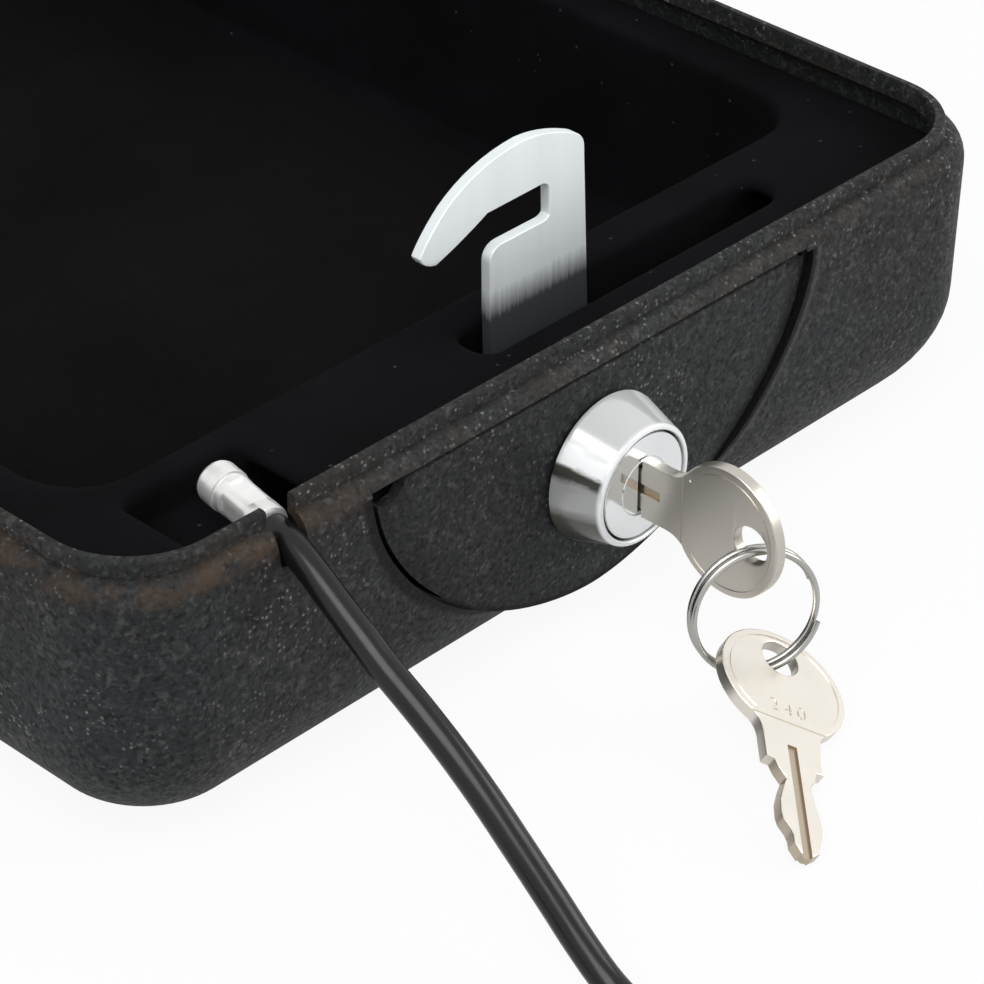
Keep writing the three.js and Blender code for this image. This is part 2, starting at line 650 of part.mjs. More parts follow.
// A tube with round section along a list of points, with flat ends
function tube(points, radius, sides, steps) {
  const section = new THREE.Shape();
  for (let i = 0; i < sides; i += 1) {
    const angle = (Math.PI * 2 * (i + 0.5)) / sides;
    const x = radius * Math.cos(angle);
    const y = radius * Math.sin(angle);
    if (i === 0) {
      section.moveTo(x, y);
    } else {
      section.lineTo(x, y);
    }
  }
  const path = new THREE.CatmullRomCurve3(points, false, 'centripetal');
  return new THREE.ExtrudeGeometry(section, { steps, extrudePath: path, bevelEnabled: false });
}

// The route of the free cable from the trapped ferrule through the notch down to the floor, by hand:
// X, distance behind the case's front, and height
const FLOOR_CABLE_Z = CABLE_RADIUS + 0.1;
const RUN_ROUTE = [
  [-50.6, 4, 36.9], [-51, 1, 36.7], [-51.5, -3, 35.2], [-51.8, -7, 33], [-52, -11, 30.7], [-52.1, -15, 28.2],
  [-52.1, -20, 25.4], [-52.1, -25, 22.3], [-52.1, -30, 18.7], [-52.1, -35, 14.6], [-52.1, -40, 10.4],
  [-52.2, -44.5, 6.7], [-52.3, -49, 3.7], [-52.4, -54, 2.2], [-52.4, -60, FLOOR_CABLE_Z],
  [-52.4, -67, FLOOR_CABLE_Z], [-52.4, -75, FLOOR_CABLE_Z],
];

function makeCableRun() {
  const points = RUN_ROUTE.map(([x, y, z]) => new THREE.Vector3(x, FRONT + y, z));
  return tube(points, CABLE_RADIUS, 8, 20);
}

// The coil: in along the floor, up a layer in the half turn where the spiral reverses, and out again on top
const COIL_TURNS = COIL_TURNS_EACH_WAY * 2 + 0.5;
const COIL_TOP_Z = FLOOR_CABLE_Z + COIL_PITCH;

function coilPoint(turn) {
  const angle = -Math.PI * 2 * turn;
  const radius = COIL_OUTER_RADIUS - COIL_PITCH * Math.min(turn, COIL_TURNS - turn);
  const climb = THREE.MathUtils.smoothstep(turn, COIL_TURNS_EACH_WAY, COIL_TURNS_EACH_WAY + 0.5);
  return new THREE.Vector3(
    COIL_X + radius * Math.cos(angle),
    COIL_Y + radius * Math.sin(angle),
    FLOOR_CABLE_Z + COIL_PITCH * climb,
  );
}

function coilPoints() {
  const start = coilPoint(0);
  const end = coilPoint(COIL_TURNS);
  const points = [start.clone().setY(start.y + CABLE_DIAMETER)];
  const steps = COIL_TURNS * COIL_STEPS_A_TURN;
  for (let i = 0; i <= steps; i += 1) {
    points.push(coilPoint((i / steps) * COIL_TURNS));
  }
  points.push(end.clone().setY(end.y + CABLE_DIAMETER));
  return points;
}

function leastCoilGap(points) {
  let least = Infinity;
  const apart = COIL_STEPS_A_TURN / 2;
  for (let i = 0; i < points.length; i += 1) {
    for (let j = i + apart; j < points.length; j += 1) {
      least = Math.min(least, points[i].distanceTo(points[j]) - CABLE_DIAMETER);
    }
  }
  return least;
}

// Skins a list of points with rings of a few sides that keep their roll, and closes both ends
function wound(points, radius, sides) {
  const rings = points.map((point, i) => {
    const before = points[Math.max(i - 1, 0)];
    const after = points[Math.min(i + 1, points.length - 1)];
    const along = after.clone().sub(before).normalize();
    const side = along.clone().cross(new THREE.Vector3(0, 0, 1)).normalize();
    const up = side.clone().cross(along);
    return Array.from({ length: sides }, (unused, k) => {
      const angle = (Math.PI * 2 * k) / sides;
      return point.clone()
        .addScaledVector(side, radius * Math.cos(angle))
        .addScaledVector(up, radius * Math.sin(angle));
    });
  });
  return loft(rings.map((ring) => ring.reverse()));
}

function makeCoil() {
  const points = coilPoints();
  console.log(`coil: least gap to itself ${leastCoilGap(points).toFixed(2)} mm`);
  return wound(points, CABLE_RADIUS, COIL_SIDES);
}

// The far end: the cable comes down off the coil, passes a sleeve and turns back in an eye
const TAIL_X = COIL_X - COIL_OUTER_RADIUS;
const TAIL_START = COIL_Y + CABLE_DIAMETER + GAP;
const SLEEVE_START = TAIL_START + TAIL_LENGTH + GAP;
const SLEEVE_END = SLEEVE_START + SLEEVE_LENGTH;
const STRAND_SPACING = CABLE_DIAMETER + 0.3;
const SLEEVE_Z = CABLE_RADIUS + 0.75;
const TAIL_ROUTE = [[0, COIL_TOP_Z], [0.25, COIL_TOP_Z - 0.5], [0.6, (COIL_TOP_Z + SLEEVE_Z) / 2 - 0.2],
  [0.85, SLEEVE_Z + 0.1], [1, SLEEVE_Z]];

function makeCableTail() {
  const points = TAIL_ROUTE.map(([part, z]) => new THREE.Vector3(TAIL_X, TAIL_START + part * TAIL_LENGTH, z));
  return tube(points, CABLE_RADIUS, 8, 6);
}

// Seen from above, from the strand that comes out of the sleeve round the eye and back beside it
function eyeRoute() {
  const start = SLEEVE_END + GAP;
  const middle = TAIL_X - STRAND_SPACING / 2;
  const centre = start + EYE_RADIUS * 1.9;
  const points = [[TAIL_X, start], [TAIL_X + 0.4, start + 2.5]];
  for (let i = 0; i <= 8; i += 1) {
    const angle = THREE.MathUtils.degToRad(-25 + (230 * i) / 8);
    points.push([middle + EYE_RADIUS * Math.cos(angle), centre + EYE_RADIUS * Math.sin(angle)]);
  }
  points.push([TAIL_X - STRAND_SPACING - 0.4, start + 2.5], [TAIL_X - STRAND_SPACING, start]);
  return points.map(([x, y]) => new THREE.Vector3(x, y, SLEEVE_Z - 0.3));
}

function makeSleeve() {
  const half = CABLE_RADIUS + 0.65;
  const shape = new THREE.Shape();
  shape.absarc(0, 0, half, Math.PI * 1.5, Math.PI * 0.5, false);
  shape.absarc(-STRAND_SPACING, 0, half, Math.PI * 0.5, Math.PI * 1.5, false);
  const geometry = new THREE.ExtrudeGeometry(shape, { depth: SLEEVE_LENGTH, bevelEnabled: false, curveSegments: 10 });
  return geometry.rotateX(Math.PI / 2).translate(TAIL_X, SLEEVE_END, SLEEVE_Z);
}

// The ferrule that is trapped inside the rim: a collar at its far end and a crimped barrel
function makeFerrule() {
  const profile = [[0, 0], [FERRULE_RADIUS - 0.3, 0], [FERRULE_RADIUS, 0.3], [FERRULE_RADIUS, 7.6],
    [FERRULE_RADIUS + 0.35, 8.1], [FERRULE_RADIUS + 0.35, FERRULE_LENGTH - 0.3],
    [FERRULE_RADIUS + 0.05, FERRULE_LENGTH], [0, FERRULE_LENGTH]];
  const geometry = new THREE.LatheGeometry(profile.map(([r, y]) => new THREE.Vector2(r, y)), 28);
  return geometry.rotateZ(-Math.atan(0.19)).translate(RUN_ROUTE[0][0], FRONT + RUN_ROUTE[0][1] + GAP, CABLE_HEIGHT);
}

// One leaf of the hinge with its rolled knuckles: side 1 is the lid's, side -1 the base's
function makeLeaf(side) {
  const leafY = BACK + GAP;
  const inner = side * (KNUCKLE_RADIUS + 0.4);
  const outer = side * (KNUCKLE_RADIUS + LEAF_HEIGHT);
  const zMin = HINGE_AXIS_Z + Math.min(inner, outer);
  const zMax = HINGE_AXIS_Z + Math.max(inner, outer);
  let leaf = solid(box(-HINGE_LENGTH / 2, HINGE_LENGTH / 2, leafY, leafY + 1, zMin, zMax));
  const pitch = HINGE_LENGTH / HINGE_KNUCKLES;
  for (let i = 0; i < HINGE_KNUCKLES; i += 1) {
    const belongs = side < 0 ? i % 2 === 0 : i % 2 === 1;
    if (belongs) {
      const start = -HINGE_LENGTH / 2 + i * pitch + GAP / 2;
      const end = start + pitch - GAP;
      const web = box(start, end, leafY, leafY + 1, HINGE_AXIS_Z + Math.min(0, inner) - (side < 0 ? 0.2 : 0),
        HINGE_AXIS_Z + Math.max(0, inner) + (side > 0 ? 0.2 : 0));
      leaf = leaf.add(solid(web)).add(solid(rodX(KNUCKLE_RADIUS, start, end, HINGE_AXIS_Y, HINGE_AXIS_Z)));
    }
  }
  leaf = leaf.subtract(solid(rodX(PIN_RADIUS + GAP, -HINGE_LENGTH, HINGE_LENGTH, HINGE_AXIS_Y, HINGE_AXIS_Z)));
  for (const x of [-RIVET_SPACING / 2, RIVET_SPACING / 2]) {
    leaf = leaf.subtract(solid(rodY(RIVET_RADIUS + GAP, BACK - 1, BACK + 3, x, rivetHeight(side), 16)));
  }
  return geometryOf(leaf);
}

// The pin, with a domed head at each end
function makeHingePin() {
  const half = HINGE_LENGTH / 2 + GAP;
  const profile = [[0, -half - 1.6], [1.5, -half - 1.3], [2, -half - 0.5], [2, -half], [PIN_RADIUS, -half],
    [PIN_RADIUS, half], [2, half], [2, half + 0.5], [1.5, half + 1.3], [0, half + 1.6]];
  const geometry = new THREE.LatheGeometry(profile.map(([r, y]) => new THREE.Vector2(r, y)), 20);
  return geometry.rotateZ(Math.PI / 2).translate(0, HINGE_AXIS_Y, HINGE_AXIS_Z);
}

// A rivet through a leaf and the back wall: a domed head outside and a flat one inside
function makeRivet(x, side) {
  const wallInset = SHEET + 0.6;
  const profile = [[0, -wallInset - 1.1], [2.4, -wallInset - 1.1], [2.6, -wallInset - 0.3], [RIVET_RADIUS, -wallInset - 0.3],
    [RIVET_RADIUS, 1 + GAP * 2], [2.7, 1 + GAP * 2], [2.3, 2.1 + GAP], [1.3, 2.7 + GAP], [0, 2.9 + GAP]];
  const geometry = new THREE.LatheGeometry(profile.map(([r, y]) => new THREE.Vector2(r, y)), 20);
  return geometry.translate(x, BACK, rivetHeight(side));
}

// The keeper under the lid: a flange, two legs and the bar between them that the hook catches
const KEEPER_LEG_FRONT = HOOK_PLANE - 2.6;
const KEEPER_LEG_BACK = HOOK_PLANE + HOOK_THICKNESS + 3.4;
const KEEPER_SHEET = 1.2;
const KEEPER_ROOF = CLOSED_HEIGHT - SHEET - GAP;

const KEEPER_FOOT = 8.5;
const KEEPER_RIVET_Y = FRONT + KEEPER_LEG_BACK + KEEPER_SHEET + KEEPER_FOOT / 2;
const KEEPER_RIVET_SPREAD = 4.2;
const KEEPER_RIVETS = [KEEPER_X - KEEPER_RIVET_SPREAD, KEEPER_X + KEEPER_RIVET_SPREAD];

function keeperRivetHole(x, z) {
  const hole = new THREE.CylinderGeometry(1.5 + GAP, 1.5 + GAP, 6, 16).rotateX(Math.PI / 2);
  return solid(hole.translate(x, KEEPER_RIVET_Y, z));
}

function makeKeeper() {
  const halfLeg = 3;
  const halfFoot = 7.5;
  const yFront = FRONT + KEEPER_LEG_FRONT;
  const yBack = FRONT + KEEPER_LEG_BACK;
  const plateBottom = KEEPER_ROOF - KEEPER_SHEET;
  const legBottom = KEEPER_Z - KEEPER_BAR_RADIUS - 1;
  const pieces = [
    rodY(KEEPER_BAR_RADIUS, yFront + 0.2, yBack + KEEPER_SHEET - 0.2, KEEPER_X, KEEPER_Z, 16),
    box(KEEPER_X - halfLeg, KEEPER_X + halfLeg, yFront, yFront + KEEPER_SHEET, legBottom, KEEPER_ROOF),
    box(KEEPER_X - halfLeg, KEEPER_X + halfLeg, yBack, yBack + KEEPER_SHEET, legBottom, KEEPER_ROOF),
    box(KEEPER_X - halfLeg, KEEPER_X + halfLeg, yFront, yBack + 1, plateBottom, KEEPER_ROOF),
    box(KEEPER_X - halfFoot, KEEPER_X + halfFoot, yBack, yBack + KEEPER_SHEET + KEEPER_FOOT, plateBottom, KEEPER_ROOF),
  ];
  let keeper = pieces.map(solid).reduce((whole, piece) => whole.add(piece));
  for (const x of KEEPER_RIVETS) {
    keeper = keeper.subtract(keeperRivetHole(x, KEEPER_ROOF));
  }
  return geometryOf(keeper);
}

function makeKeeperRivet(x) {
  const low = KEEPER_ROOF - KEEPER_SHEET - GAP;
  const high = CLOSED_HEIGHT + GAP;
  const profile = [[0, low - 1], [1.6, low - 0.9], [2.4, low], [1.5, low], [1.5, high], [2.6, high], [2.1, high + 0.8],
    [0, high + 1.1]];
  const geometry = new THREE.LatheGeometry(profile.map(([r, z]) => new THREE.Vector2(r, z)), 20);
  return geometry.rotateX(Math.PI / 2).translate(x, KEEPER_RIVET_Y, 0);
}

// Assembly
const safe = new THREE.Group();
safe.name = 'portable_car_safe';

addMesh(safe, 'base_shell', makeBaseShell(), materials.powderCoat);
addMesh(safe, 'liner_tray', makeLiner(), materials.liner);
addMesh(safe, 'pocket_mat', makeMat(), materials.foam);
addMesh(safe, 'hinge_leaf_base', makeLeaf(-1), materials.powderCoat);
addMesh(safe, 'hinge_pin', makeHingePin(), materials.steel);
addMesh(safe, 'base_rivet_left', makeRivet(-RIVET_SPACING / 2, -1), materials.powderCoat);
addMesh(safe, 'base_rivet_right', makeRivet(RIVET_SPACING / 2, -1), materials.powderCoat);
addMesh(safe, 'lock_trim_ring', makeTrimRing(), materials.chrome);
addMesh(safe, 'lock_barrel', makeBarrel(), materials.zinc);
addMesh(safe, 'lock_washer', makeLockWasher(), materials.zinc);
addMesh(safe, 'lock_nut', makeHexNut(NUT_FLATS, NUT_THICKNESS, BARREL_RADIUS + GAP, NUT_START), materials.zinc);
addMesh(safe, 'lock_plug', makePlug(), materials.chrome);
addMesh(safe, 'cam_hook', makeHook(), materials.zinc);
addMesh(safe, 'cam_nut', makeCamNut(), materials.zinc);

const keyInLock = addMesh(safe, 'key_1', makeKey(), materials.nickel);
keyInLock.position.set(LOCK_X, KEY_BOW_Y, LOCK_Z);
addMesh(safe, 'key_ring', makeKeyRing(), materials.steel);
placeSecondKey(addMesh(safe, 'key_2', makeKey(), materials.nickel));

addMesh(safe, 'cable_ferrule', makeFerrule(), materials.ferrule);
addMesh(safe, 'cable_run', makeCableRun(), materials.jacket);
addMesh(safe, 'cable_coil', makeCoil(), materials.jacket);
addMesh(safe, 'cable_tail', makeCableTail(), materials.jacket);
addMesh(safe, 'eye_sleeve', makeSleeve(), materials.ferrule);
addMesh(safe, 'cable_eye', tube(eyeRoute(), CABLE_RADIUS, 8, 22), materials.jacket);

// The lid hangs on the hinge pin: its pieces are drawn closed, then the group is swung open to its stop
const lid = new THREE.Group();
lid.name = 'lid';
lid.position.set(0, HINGE_AXIS_Y, HINGE_AXIS_Z);
lid.rotation.x = -THREE.MathUtils.degToRad(LID_OPEN_ANGLE);
safe.add(lid);

const lidParts = [
  ['lid_shell', makeLidShell(), materials.powderCoat],
  ['lid_lining', makeLidLining(), materials.foam],
  ['hinge_leaf_lid', makeLeaf(1), materials.powderCoat],
  ['lid_rivet_left', makeRivet(-RIVET_SPACING / 2, 1), materials.powderCoat],
  ['lid_rivet_right', makeRivet(RIVET_SPACING / 2, 1), materials.powderCoat],
  ['lid_keeper', makeKeeper(), materials.zinc],
  ['keeper_rivet_left', makeKeeperRivet(KEEPER_RIVETS[0]), materials.zinc],
  ['keeper_rivet_right', makeKeeperRivet(KEEPER_RIVETS[1]), materials.zinc],
];
for (const [name, geometry, material] of lidParts) {
  addMesh(lid, name, geometry, material).position.set(0, -HINGE_AXIS_Y, -HINGE_AXIS_Z);
}

export default safe;
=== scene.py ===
import json
import math

import bmesh
import bpy
from mathutils import Matrix, Vector
from mathutils.geometry import interpolate_bezier


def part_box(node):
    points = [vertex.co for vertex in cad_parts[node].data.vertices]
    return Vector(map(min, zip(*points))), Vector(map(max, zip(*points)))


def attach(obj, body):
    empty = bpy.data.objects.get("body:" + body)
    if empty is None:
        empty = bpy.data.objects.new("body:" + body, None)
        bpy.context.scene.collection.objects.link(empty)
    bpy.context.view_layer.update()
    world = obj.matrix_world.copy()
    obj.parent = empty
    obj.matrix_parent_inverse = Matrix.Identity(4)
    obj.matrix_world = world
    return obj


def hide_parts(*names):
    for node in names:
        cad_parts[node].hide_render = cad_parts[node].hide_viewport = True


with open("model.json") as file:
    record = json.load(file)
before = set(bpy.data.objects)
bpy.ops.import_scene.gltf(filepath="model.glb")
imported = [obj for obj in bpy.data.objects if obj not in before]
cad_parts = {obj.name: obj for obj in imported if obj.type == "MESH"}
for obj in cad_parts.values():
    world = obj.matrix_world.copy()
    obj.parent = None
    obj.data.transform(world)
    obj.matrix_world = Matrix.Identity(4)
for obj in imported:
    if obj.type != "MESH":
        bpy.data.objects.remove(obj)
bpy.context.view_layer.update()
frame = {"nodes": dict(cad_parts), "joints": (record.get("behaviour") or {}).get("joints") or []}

bl_info = {
    "name": "Portable car safe",
    "version": (1, 0, 0),
    "blender": (4, 5, 0),
    "location": "3D View > Sidebar > Safe",
    "description": "Builds the dressed model of a small keyed safe with a tether cable",
    "category": "Object",
}

MM = 0.001
JOINTS = {joint["name"]: joint for joint in frame["joints"]}


def millimetres(node):
    """Lowest and highest corner of one of the frame's solids at rest, in millimetres."""
    return [[value / MM for value in corner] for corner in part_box(node)]


BASE_LOW, BASE_HIGH = millimetres("base_shell")
FRONT = BASE_LOW[1]
BACK = BASE_HIGH[1]
HALF_WIDTH = BASE_HIGH[0]
HALF_DEPTH = BASE_HIGH[1]
RIM_HEIGHT = BASE_HIGH[2]

# Pressed skin of the case
CORNER_RADIUS = 12.5
CORNER_TAPER = 0.3
FOOT_RADIUS = 17.0
LID_EDGE_RADIUS = 14.0
WALL_DRAFT = 0.016
SHOULDER_HEIGHT = 35.4
SHOULDER_RISE = 3.8
NECK_INSET = 2.1
CLOSED_HEIGHT = 66.0
RIM_ROUND = 0.45

# Lock and its pad
LOCK_X = -0.5
LOCK_Z = 23.3
PAD_HALF_WIDTH = 38.2
PAD_HEIGHT = 31.2
PAD_TOP = SHOULDER_HEIGHT + 1.5
PAD_RECESS = 0.3
PAD_TROUGH = 1.1
PAD_TROUGH_WIDTH = 6.0
PAD_OVERLAP = 0.2
PAD_BEND = 1.12
SLIT_WIDTH = 0.5
SLIT_END_LENGTH = 4.0
SLIT_END_WIDTH = 1.4
TEAR_OUTLINE = (
    (-1.3, -1.4), (0.2, -2.4), (1.7, -2.6), (3.0, -2.1), (3.8, -0.9), (4.6, 0.55), (-1.1, 0.55),
)
CRACK_TURN = 0.24
CRACK_INSET = 0.45
CRACK_WIDTH = 0.72
CRACK_END_WIDTH = 0.06
CRACK_DEPTH = 3.4
PAD_STEPS = 72
FRONT_CUT_DEPTH = 3.0
TRIM_BASE_RADIUS = 9.7
TRIM_FACE_RADIUS = 8.0
TRIM_FRONT = -6.7
TRIM_BACK = 0.0
DISC_RADIUS = 6.9
DISC_THICKNESS = 1.3
BARREL_RADIUS = 5.0
PLUG_RADIUS = 3.8
HOOK_PLANE = 15.3
HOOK_THICKNESS = 1.5
HOOK_HUB_RADIUS = 6.6
HOOK_REACH = 37.4
TAIL_SIDE = 5.0
STUD_RADIUS = 1.4
GAP = 0.3
KEY_PLANE_FRONT = TRIM_FRONT + 0.15

# Liner
LEDGE_TOP = 35.7
POCKET_X = 2.5
POCKET_HALF_WIDTH = 64.0
POCKET_FRONT = 25.0
POCKET_BACK_MARGIN = 12.0
POCKET_HALF_DEPTH = (2 * HALF_DEPTH - POCKET_FRONT - POCKET_BACK_MARGIN) / 2
POCKET_FLOOR = 6.0
POCKET_RADIUS = 9.0
SLOT_FRONT = HOOK_PLANE - 2
SLOT_BACK = HOOK_PLANE + 4.1
SLOT_LEFT = LOCK_X - 6.1
SLOT_RIGHT = LOCK_X + 47.7
NOTCH_X = -51.1
NICHE_LEFT = NOTCH_X - 6.9
NICHE_RIGHT = NOTCH_X + 10.6
NICHE_BACK = 21.6
LINER_WALL = 2.0
LINER_HOLLOW_LEFT = -58
LINER_HOLLOW_RIGHT = 60
MAT_THICKNESS = 2.5
MAT_MARGIN = 4.5

# Cable, its route and its coil
CABLE_DIAMETER = 3.7
CABLE_HEIGHT = 36.9
FLOOR_Z = CABLE_DIAMETER / 2 + 0.1
NOTCH_HEIGHT = CABLE_HEIGHT - 1.3
COIL_RADIUS = 26.0
COIL_PITCH = CABLE_DIAMETER + 0.6
COIL_EACH_WAY = 2.5
COIL_TURNS = 2 * COIL_EACH_WAY + 0.5
COIL_X = -52.4 - COIL_RADIUS
COIL_Y = FRONT - 79.0
RUN_ROUTE = (
    (-50.6, 4, 36.9), (-51, 1, 36.7), (-51.5, -3, 35.2), (-51.8, -7, 33), (-52, -11, 30.7),
    (-52.1, -15, 28.2), (-52.1, -20, 25.4), (-52.1, -25, 22.3), (-52.1, -30, 18.7), (-52.1, -35, 14.6),
    (-52.1, -40, 10.4), (-52.2, -44.5, 6.7), (-52.3, -49, 3.7), (-52.4, -54, 2.2),
    (-52.4, -60, FLOOR_Z), (-52.4, -67, FLOOR_Z), (-52.4, -75, FLOOR_Z),
)
TAIL_LENGTH = 14.0
SLEEVE_LENGTH = 10.0
EYE_RADIUS = 8.0
FERRULE_RADIUS = 2.5
FERRULE_LENGTH = 11.5
FERRULE_SLOPE = 0.19
CRIMP_DEPTH = 0.34
CRIMP_START = 2.3
CRIMP_END = 6.8

# Keys and their ring
KEY_THICKNESS = 1.6
BOW_HALF_LENGTH = 8.0
BOW_HALF_WIDTH = 8.6
BOW_CHORD = 6.5
NECK_HALF_WIDTH = 4.0
KEY_HOLE_OFFSET = -3.9
KEY_HOLE_RADIUS = 2.5
KEY_STOP = 13.0
BLADE_LENGTH = 14.0
BLADE_GROOVE_START = BOW_CHORD + 3.6
BLADE_LEFT = (
    (0.1, 2.9), (1.2, 2.5), (2.5, 1.6), (4, 2.2), (6.2, 2.9), (8.2, 3), (9.2, 2.8), (10.3, 2),
    (11.2, 1.7), (12.3, 1.7), (13.6, 0.9), (BLADE_LENGTH, 0.4),
)
BLADE_RIGHT = (
    (BLADE_LENGTH - 0.2, -0.5), (12.9, -1.6), (11.8, -1.8), (10.3, -2.3), (8.9, -2.6),
    (6.9, -2.4), (5.6, -2.1), (3.8, -1.9), (2.7, -1.8), (1.5, -2.6), (0.1, -2.9),
)
KEY_BOW_Y = FRONT + KEY_PLANE_FRONT - GAP - KEY_STOP
RING_RADIUS = 7.8
RING_WIRE_RADIUS = 0.42
RING_PITCH = 1.15
RING_TURNS = 1.9
RING_SAG = 1.15
RING_NORMAL = Vector((-0.47, -0.873, 0.13)).normalized()
KEY_LEAN = math.radians(-9.9)
KEY_ROLL = math.radians(30)
KEY_HEADING = math.radians(226.8)
KEY_RING_ANGLE = math.radians(20.5)
KEY_NUMBER = "240"

# Lid, lining and hinge
HINGE_Y = JOINTS["lid_hinge"]["pos_m"][1] / MM
HINGE_Z = JOINTS["lid_hinge"]["pos_m"][2] / MM
LID_OPEN_ANGLE = math.radians(105)
RIVET_X = 33.0
RIVET_RADIUS = 1.6
LEAF_DROP = 2.4
LEAF_HEIGHT = 17
LEAF_HOLE_PART = 0.55
KEEPER_GAP = 3.4
KEEPER_SHEET = 1.2
KEEPER_FOOT_HOLE = 4.25
KEEPER_RIVET_Y = FRONT + HOOK_PLANE + HOOK_THICKNESS + KEEPER_GAP + KEEPER_SHEET + KEEPER_FOOT_HOLE
KEEPER_RIVET_SPREAD = 4.2
LINING_THICKNESS = 2.0
LINING_MARGIN = 20.0
LINING_FRONT_MARGIN = 48.5
LINING_RADIUS = 8.0

# The hook at rest, from the lock's axis and in parts of its reach: a corner, or a curve's handle and end
HOOK_OUTLINE = (
    (0.369, 0.205), (0.334, 0.875), (0.329, 0.917, 0.27, 0.941), (0.147, 0.997, 0.04, 1.0),
    (-0.161, 0.992, -0.297, 0.89), (-0.377, 0.821, -0.412, 0.762), (-0.398, 0.722, -0.34, 0.711),
    (-0.227, 0.746, -0.11, 0.802), (0.139, 0.805), (0.171, 0.799, 0.171, 0.773), (0.174, 0.682),
    (0.168, 0.668, 0.137, 0.668), (-0.04, 0.668), (-0.099, 0.665, -0.099, 0.607), (-0.097, 0.45),
    (-0.09, 0.25),
)

# Second colours of the finishes, each beside the one that a user would change
COAT_SLOW_TINT = (0.019, 0.0228, 0.0245, 1.0)
COAT_CLUMP = (0.07, 0.07, 0.07, 1.0)
# Painted shade in the dimples of the coat's relief
COAT_DIMPLE_SHADE = (0.0065, 0.0065, 0.0067, 1.0)
# Painted glints: the light specks on the coat
COAT_PAINTED_GLINT = (0.19, 0.19, 0.19, 1.0)
# Painted shade in the crease and hollow round the lock pad
CREASE_PAINTED_SHADE = (0.0018, 0.0017, 0.0018, 1.0)
# Painted highlight along the ridge outside the pad's hollow
RIDGE_PAINTED_HIGHLIGHT = (0.075, 0.072, 0.07, 1.0)
LINER_TINT = (0.0068, 0.0068, 0.0082, 1.0)
LINER_SPECK = (0.2, 0.2, 0.21, 1.0)
FOAM_TINT = (0.0062, 0.0061, 0.0068, 1.0)
JACKET_TINT = (0.008, 0.008, 0.0085, 1.0)
CONE_FACE = (0.84, 0.86, 0.87, 1.0)
# Painted shade and dark reflection at the hook's root, by the ledge
HOOK_ROOT_PAINTED_SHADE = (0.016, 0.021, 0.023, 1.0)
BARE_BRASS = (0.36, 0.28, 0.18, 1.0)

# Painted reflections round the lock's cone, as light and dark bands: degrees from the right and upwards, and how
# light the chrome is there
CONE_PAINTED_REFLECTIONS = (
    (0, 0.5), (40, 0.5), (46, 1.0), (63, 1.0), (68, 0.66), (134, 0.58), (140, 0.98), (151, 0.98),
    (154, 0.06), (161, 0.03), (165, 0.34), (184, 0.42), (196, 0.1), (225, 0.06), (246, 0.4), (300, 0.5),
)

# Heights between which the rim is rubbed, and between which the hook darkens with painted shade and reflection of
# the ledge, in metres
RUBBED_RIM = (0.0362, 0.0378, 0.0386, 0.0398)
HOOK_SHADE_HEIGHTS = (0.0384, 0.0422)


# Settings that a user would change

class SafeSizes(bpy.types.PropertyGroup):
    """Sizes of the pressed case"""
    sheet: bpy.props.FloatProperty(
        name="Sheet", description="Thickness of the case's steel", default=1.2 * MM, min=0.0, unit="LENGTH")
    corner_steps: bpy.props.IntProperty(
        name="Corner steps", description="Faces round each upright corner", default=16, min=4)
    liner_grain: bpy.props.FloatProperty(
        name="Liner grain", description="Size of the liner's remeshed faces", default=0.9 * MM, unit="LENGTH")
    coating_bump: bpy.props.FloatProperty(
        name="Coating relief", description="Height of the powder coat's texture", default=0.1 * MM, unit="LENGTH")


class SafeColours(bpy.types.PropertyGroup):
    """Colours of the finishes"""
    coat: bpy.props.FloatVectorProperty(
        name="Powder coat", description="Textured coat of the case", subtype="COLOR",
        default=(0.0155, 0.0155, 0.016), size=3, min=0, max=1)
    worn_coat: bpy.props.FloatVectorProperty(
        name="Rubbed coat", description="Brownish coat along the rim", subtype="COLOR",
        default=(0.052, 0.035, 0.022), size=3, min=0, max=1)
    liner: bpy.props.FloatVectorProperty(
        name="Liner", description="Flocked liner", subtype="COLOR", default=(0.0045, 0.0045, 0.0052),
        size=3, min=0, max=1)
    foam: bpy.props.FloatVectorProperty(
        name="Foam", description="Mat and lid lining", subtype="COLOR", default=(0.0042, 0.0041, 0.0044),
        size=3, min=0, max=1)
    zinc: bpy.props.FloatVectorProperty(
        name="Zinc", description="Plate on the hook and the nuts", subtype="COLOR",
        default=(0.84, 0.89, 0.905), size=3, min=0, max=1)
    nickel: bpy.props.FloatVectorProperty(
        name="Nickel", description="Plate on the keys", subtype="COLOR", default=(0.79, 0.75, 0.675),
        size=3, min=0, max=1)
    jacket: bpy.props.FloatVectorProperty(
        name="Jacket", description="Cable coating", subtype="COLOR", default=(0.004, 0.004, 0.0043),
        size=3, min=0, max=1)


# Nodes

def add_node(tree, kind, inputs=None, **settings):
    """A node with its settings, and its inputs by name or index: each a value or a socket."""
    node = tree.nodes.new(kind)
    for name, value in settings.items():
        setattr(node, name, value)
    for name, value in (inputs or {}).items():
        if isinstance(value, bpy.types.NodeSocket):
            tree.links.new(value, node.inputs[name])
        else:
            node.inputs[name].default_value = value
    return node


def add_math(tree, operation, first, second=0.0, clamp=False):
    return add_node(tree, "ShaderNodeMath", {0: first, 1: second}, operation=operation, use_clamp=clamp).outputs[0]


def mix_colours(tree, factor, first, second, blend="MIX"):
    return add_node(tree, "ShaderNodeMix", {0: factor, 6: first, 7: second},
                    data_type="RGBA", blend_type=blend).outputs[2]


def map_range(tree, value, low, high, to_low=0.0, to_high=1.0):
    return add_node(tree, "ShaderNodeMapRange", {"Value": value, "From Min": low, "From Max": high,
                                                 "To Min": to_low, "To Max": to_high}).outputs[0]


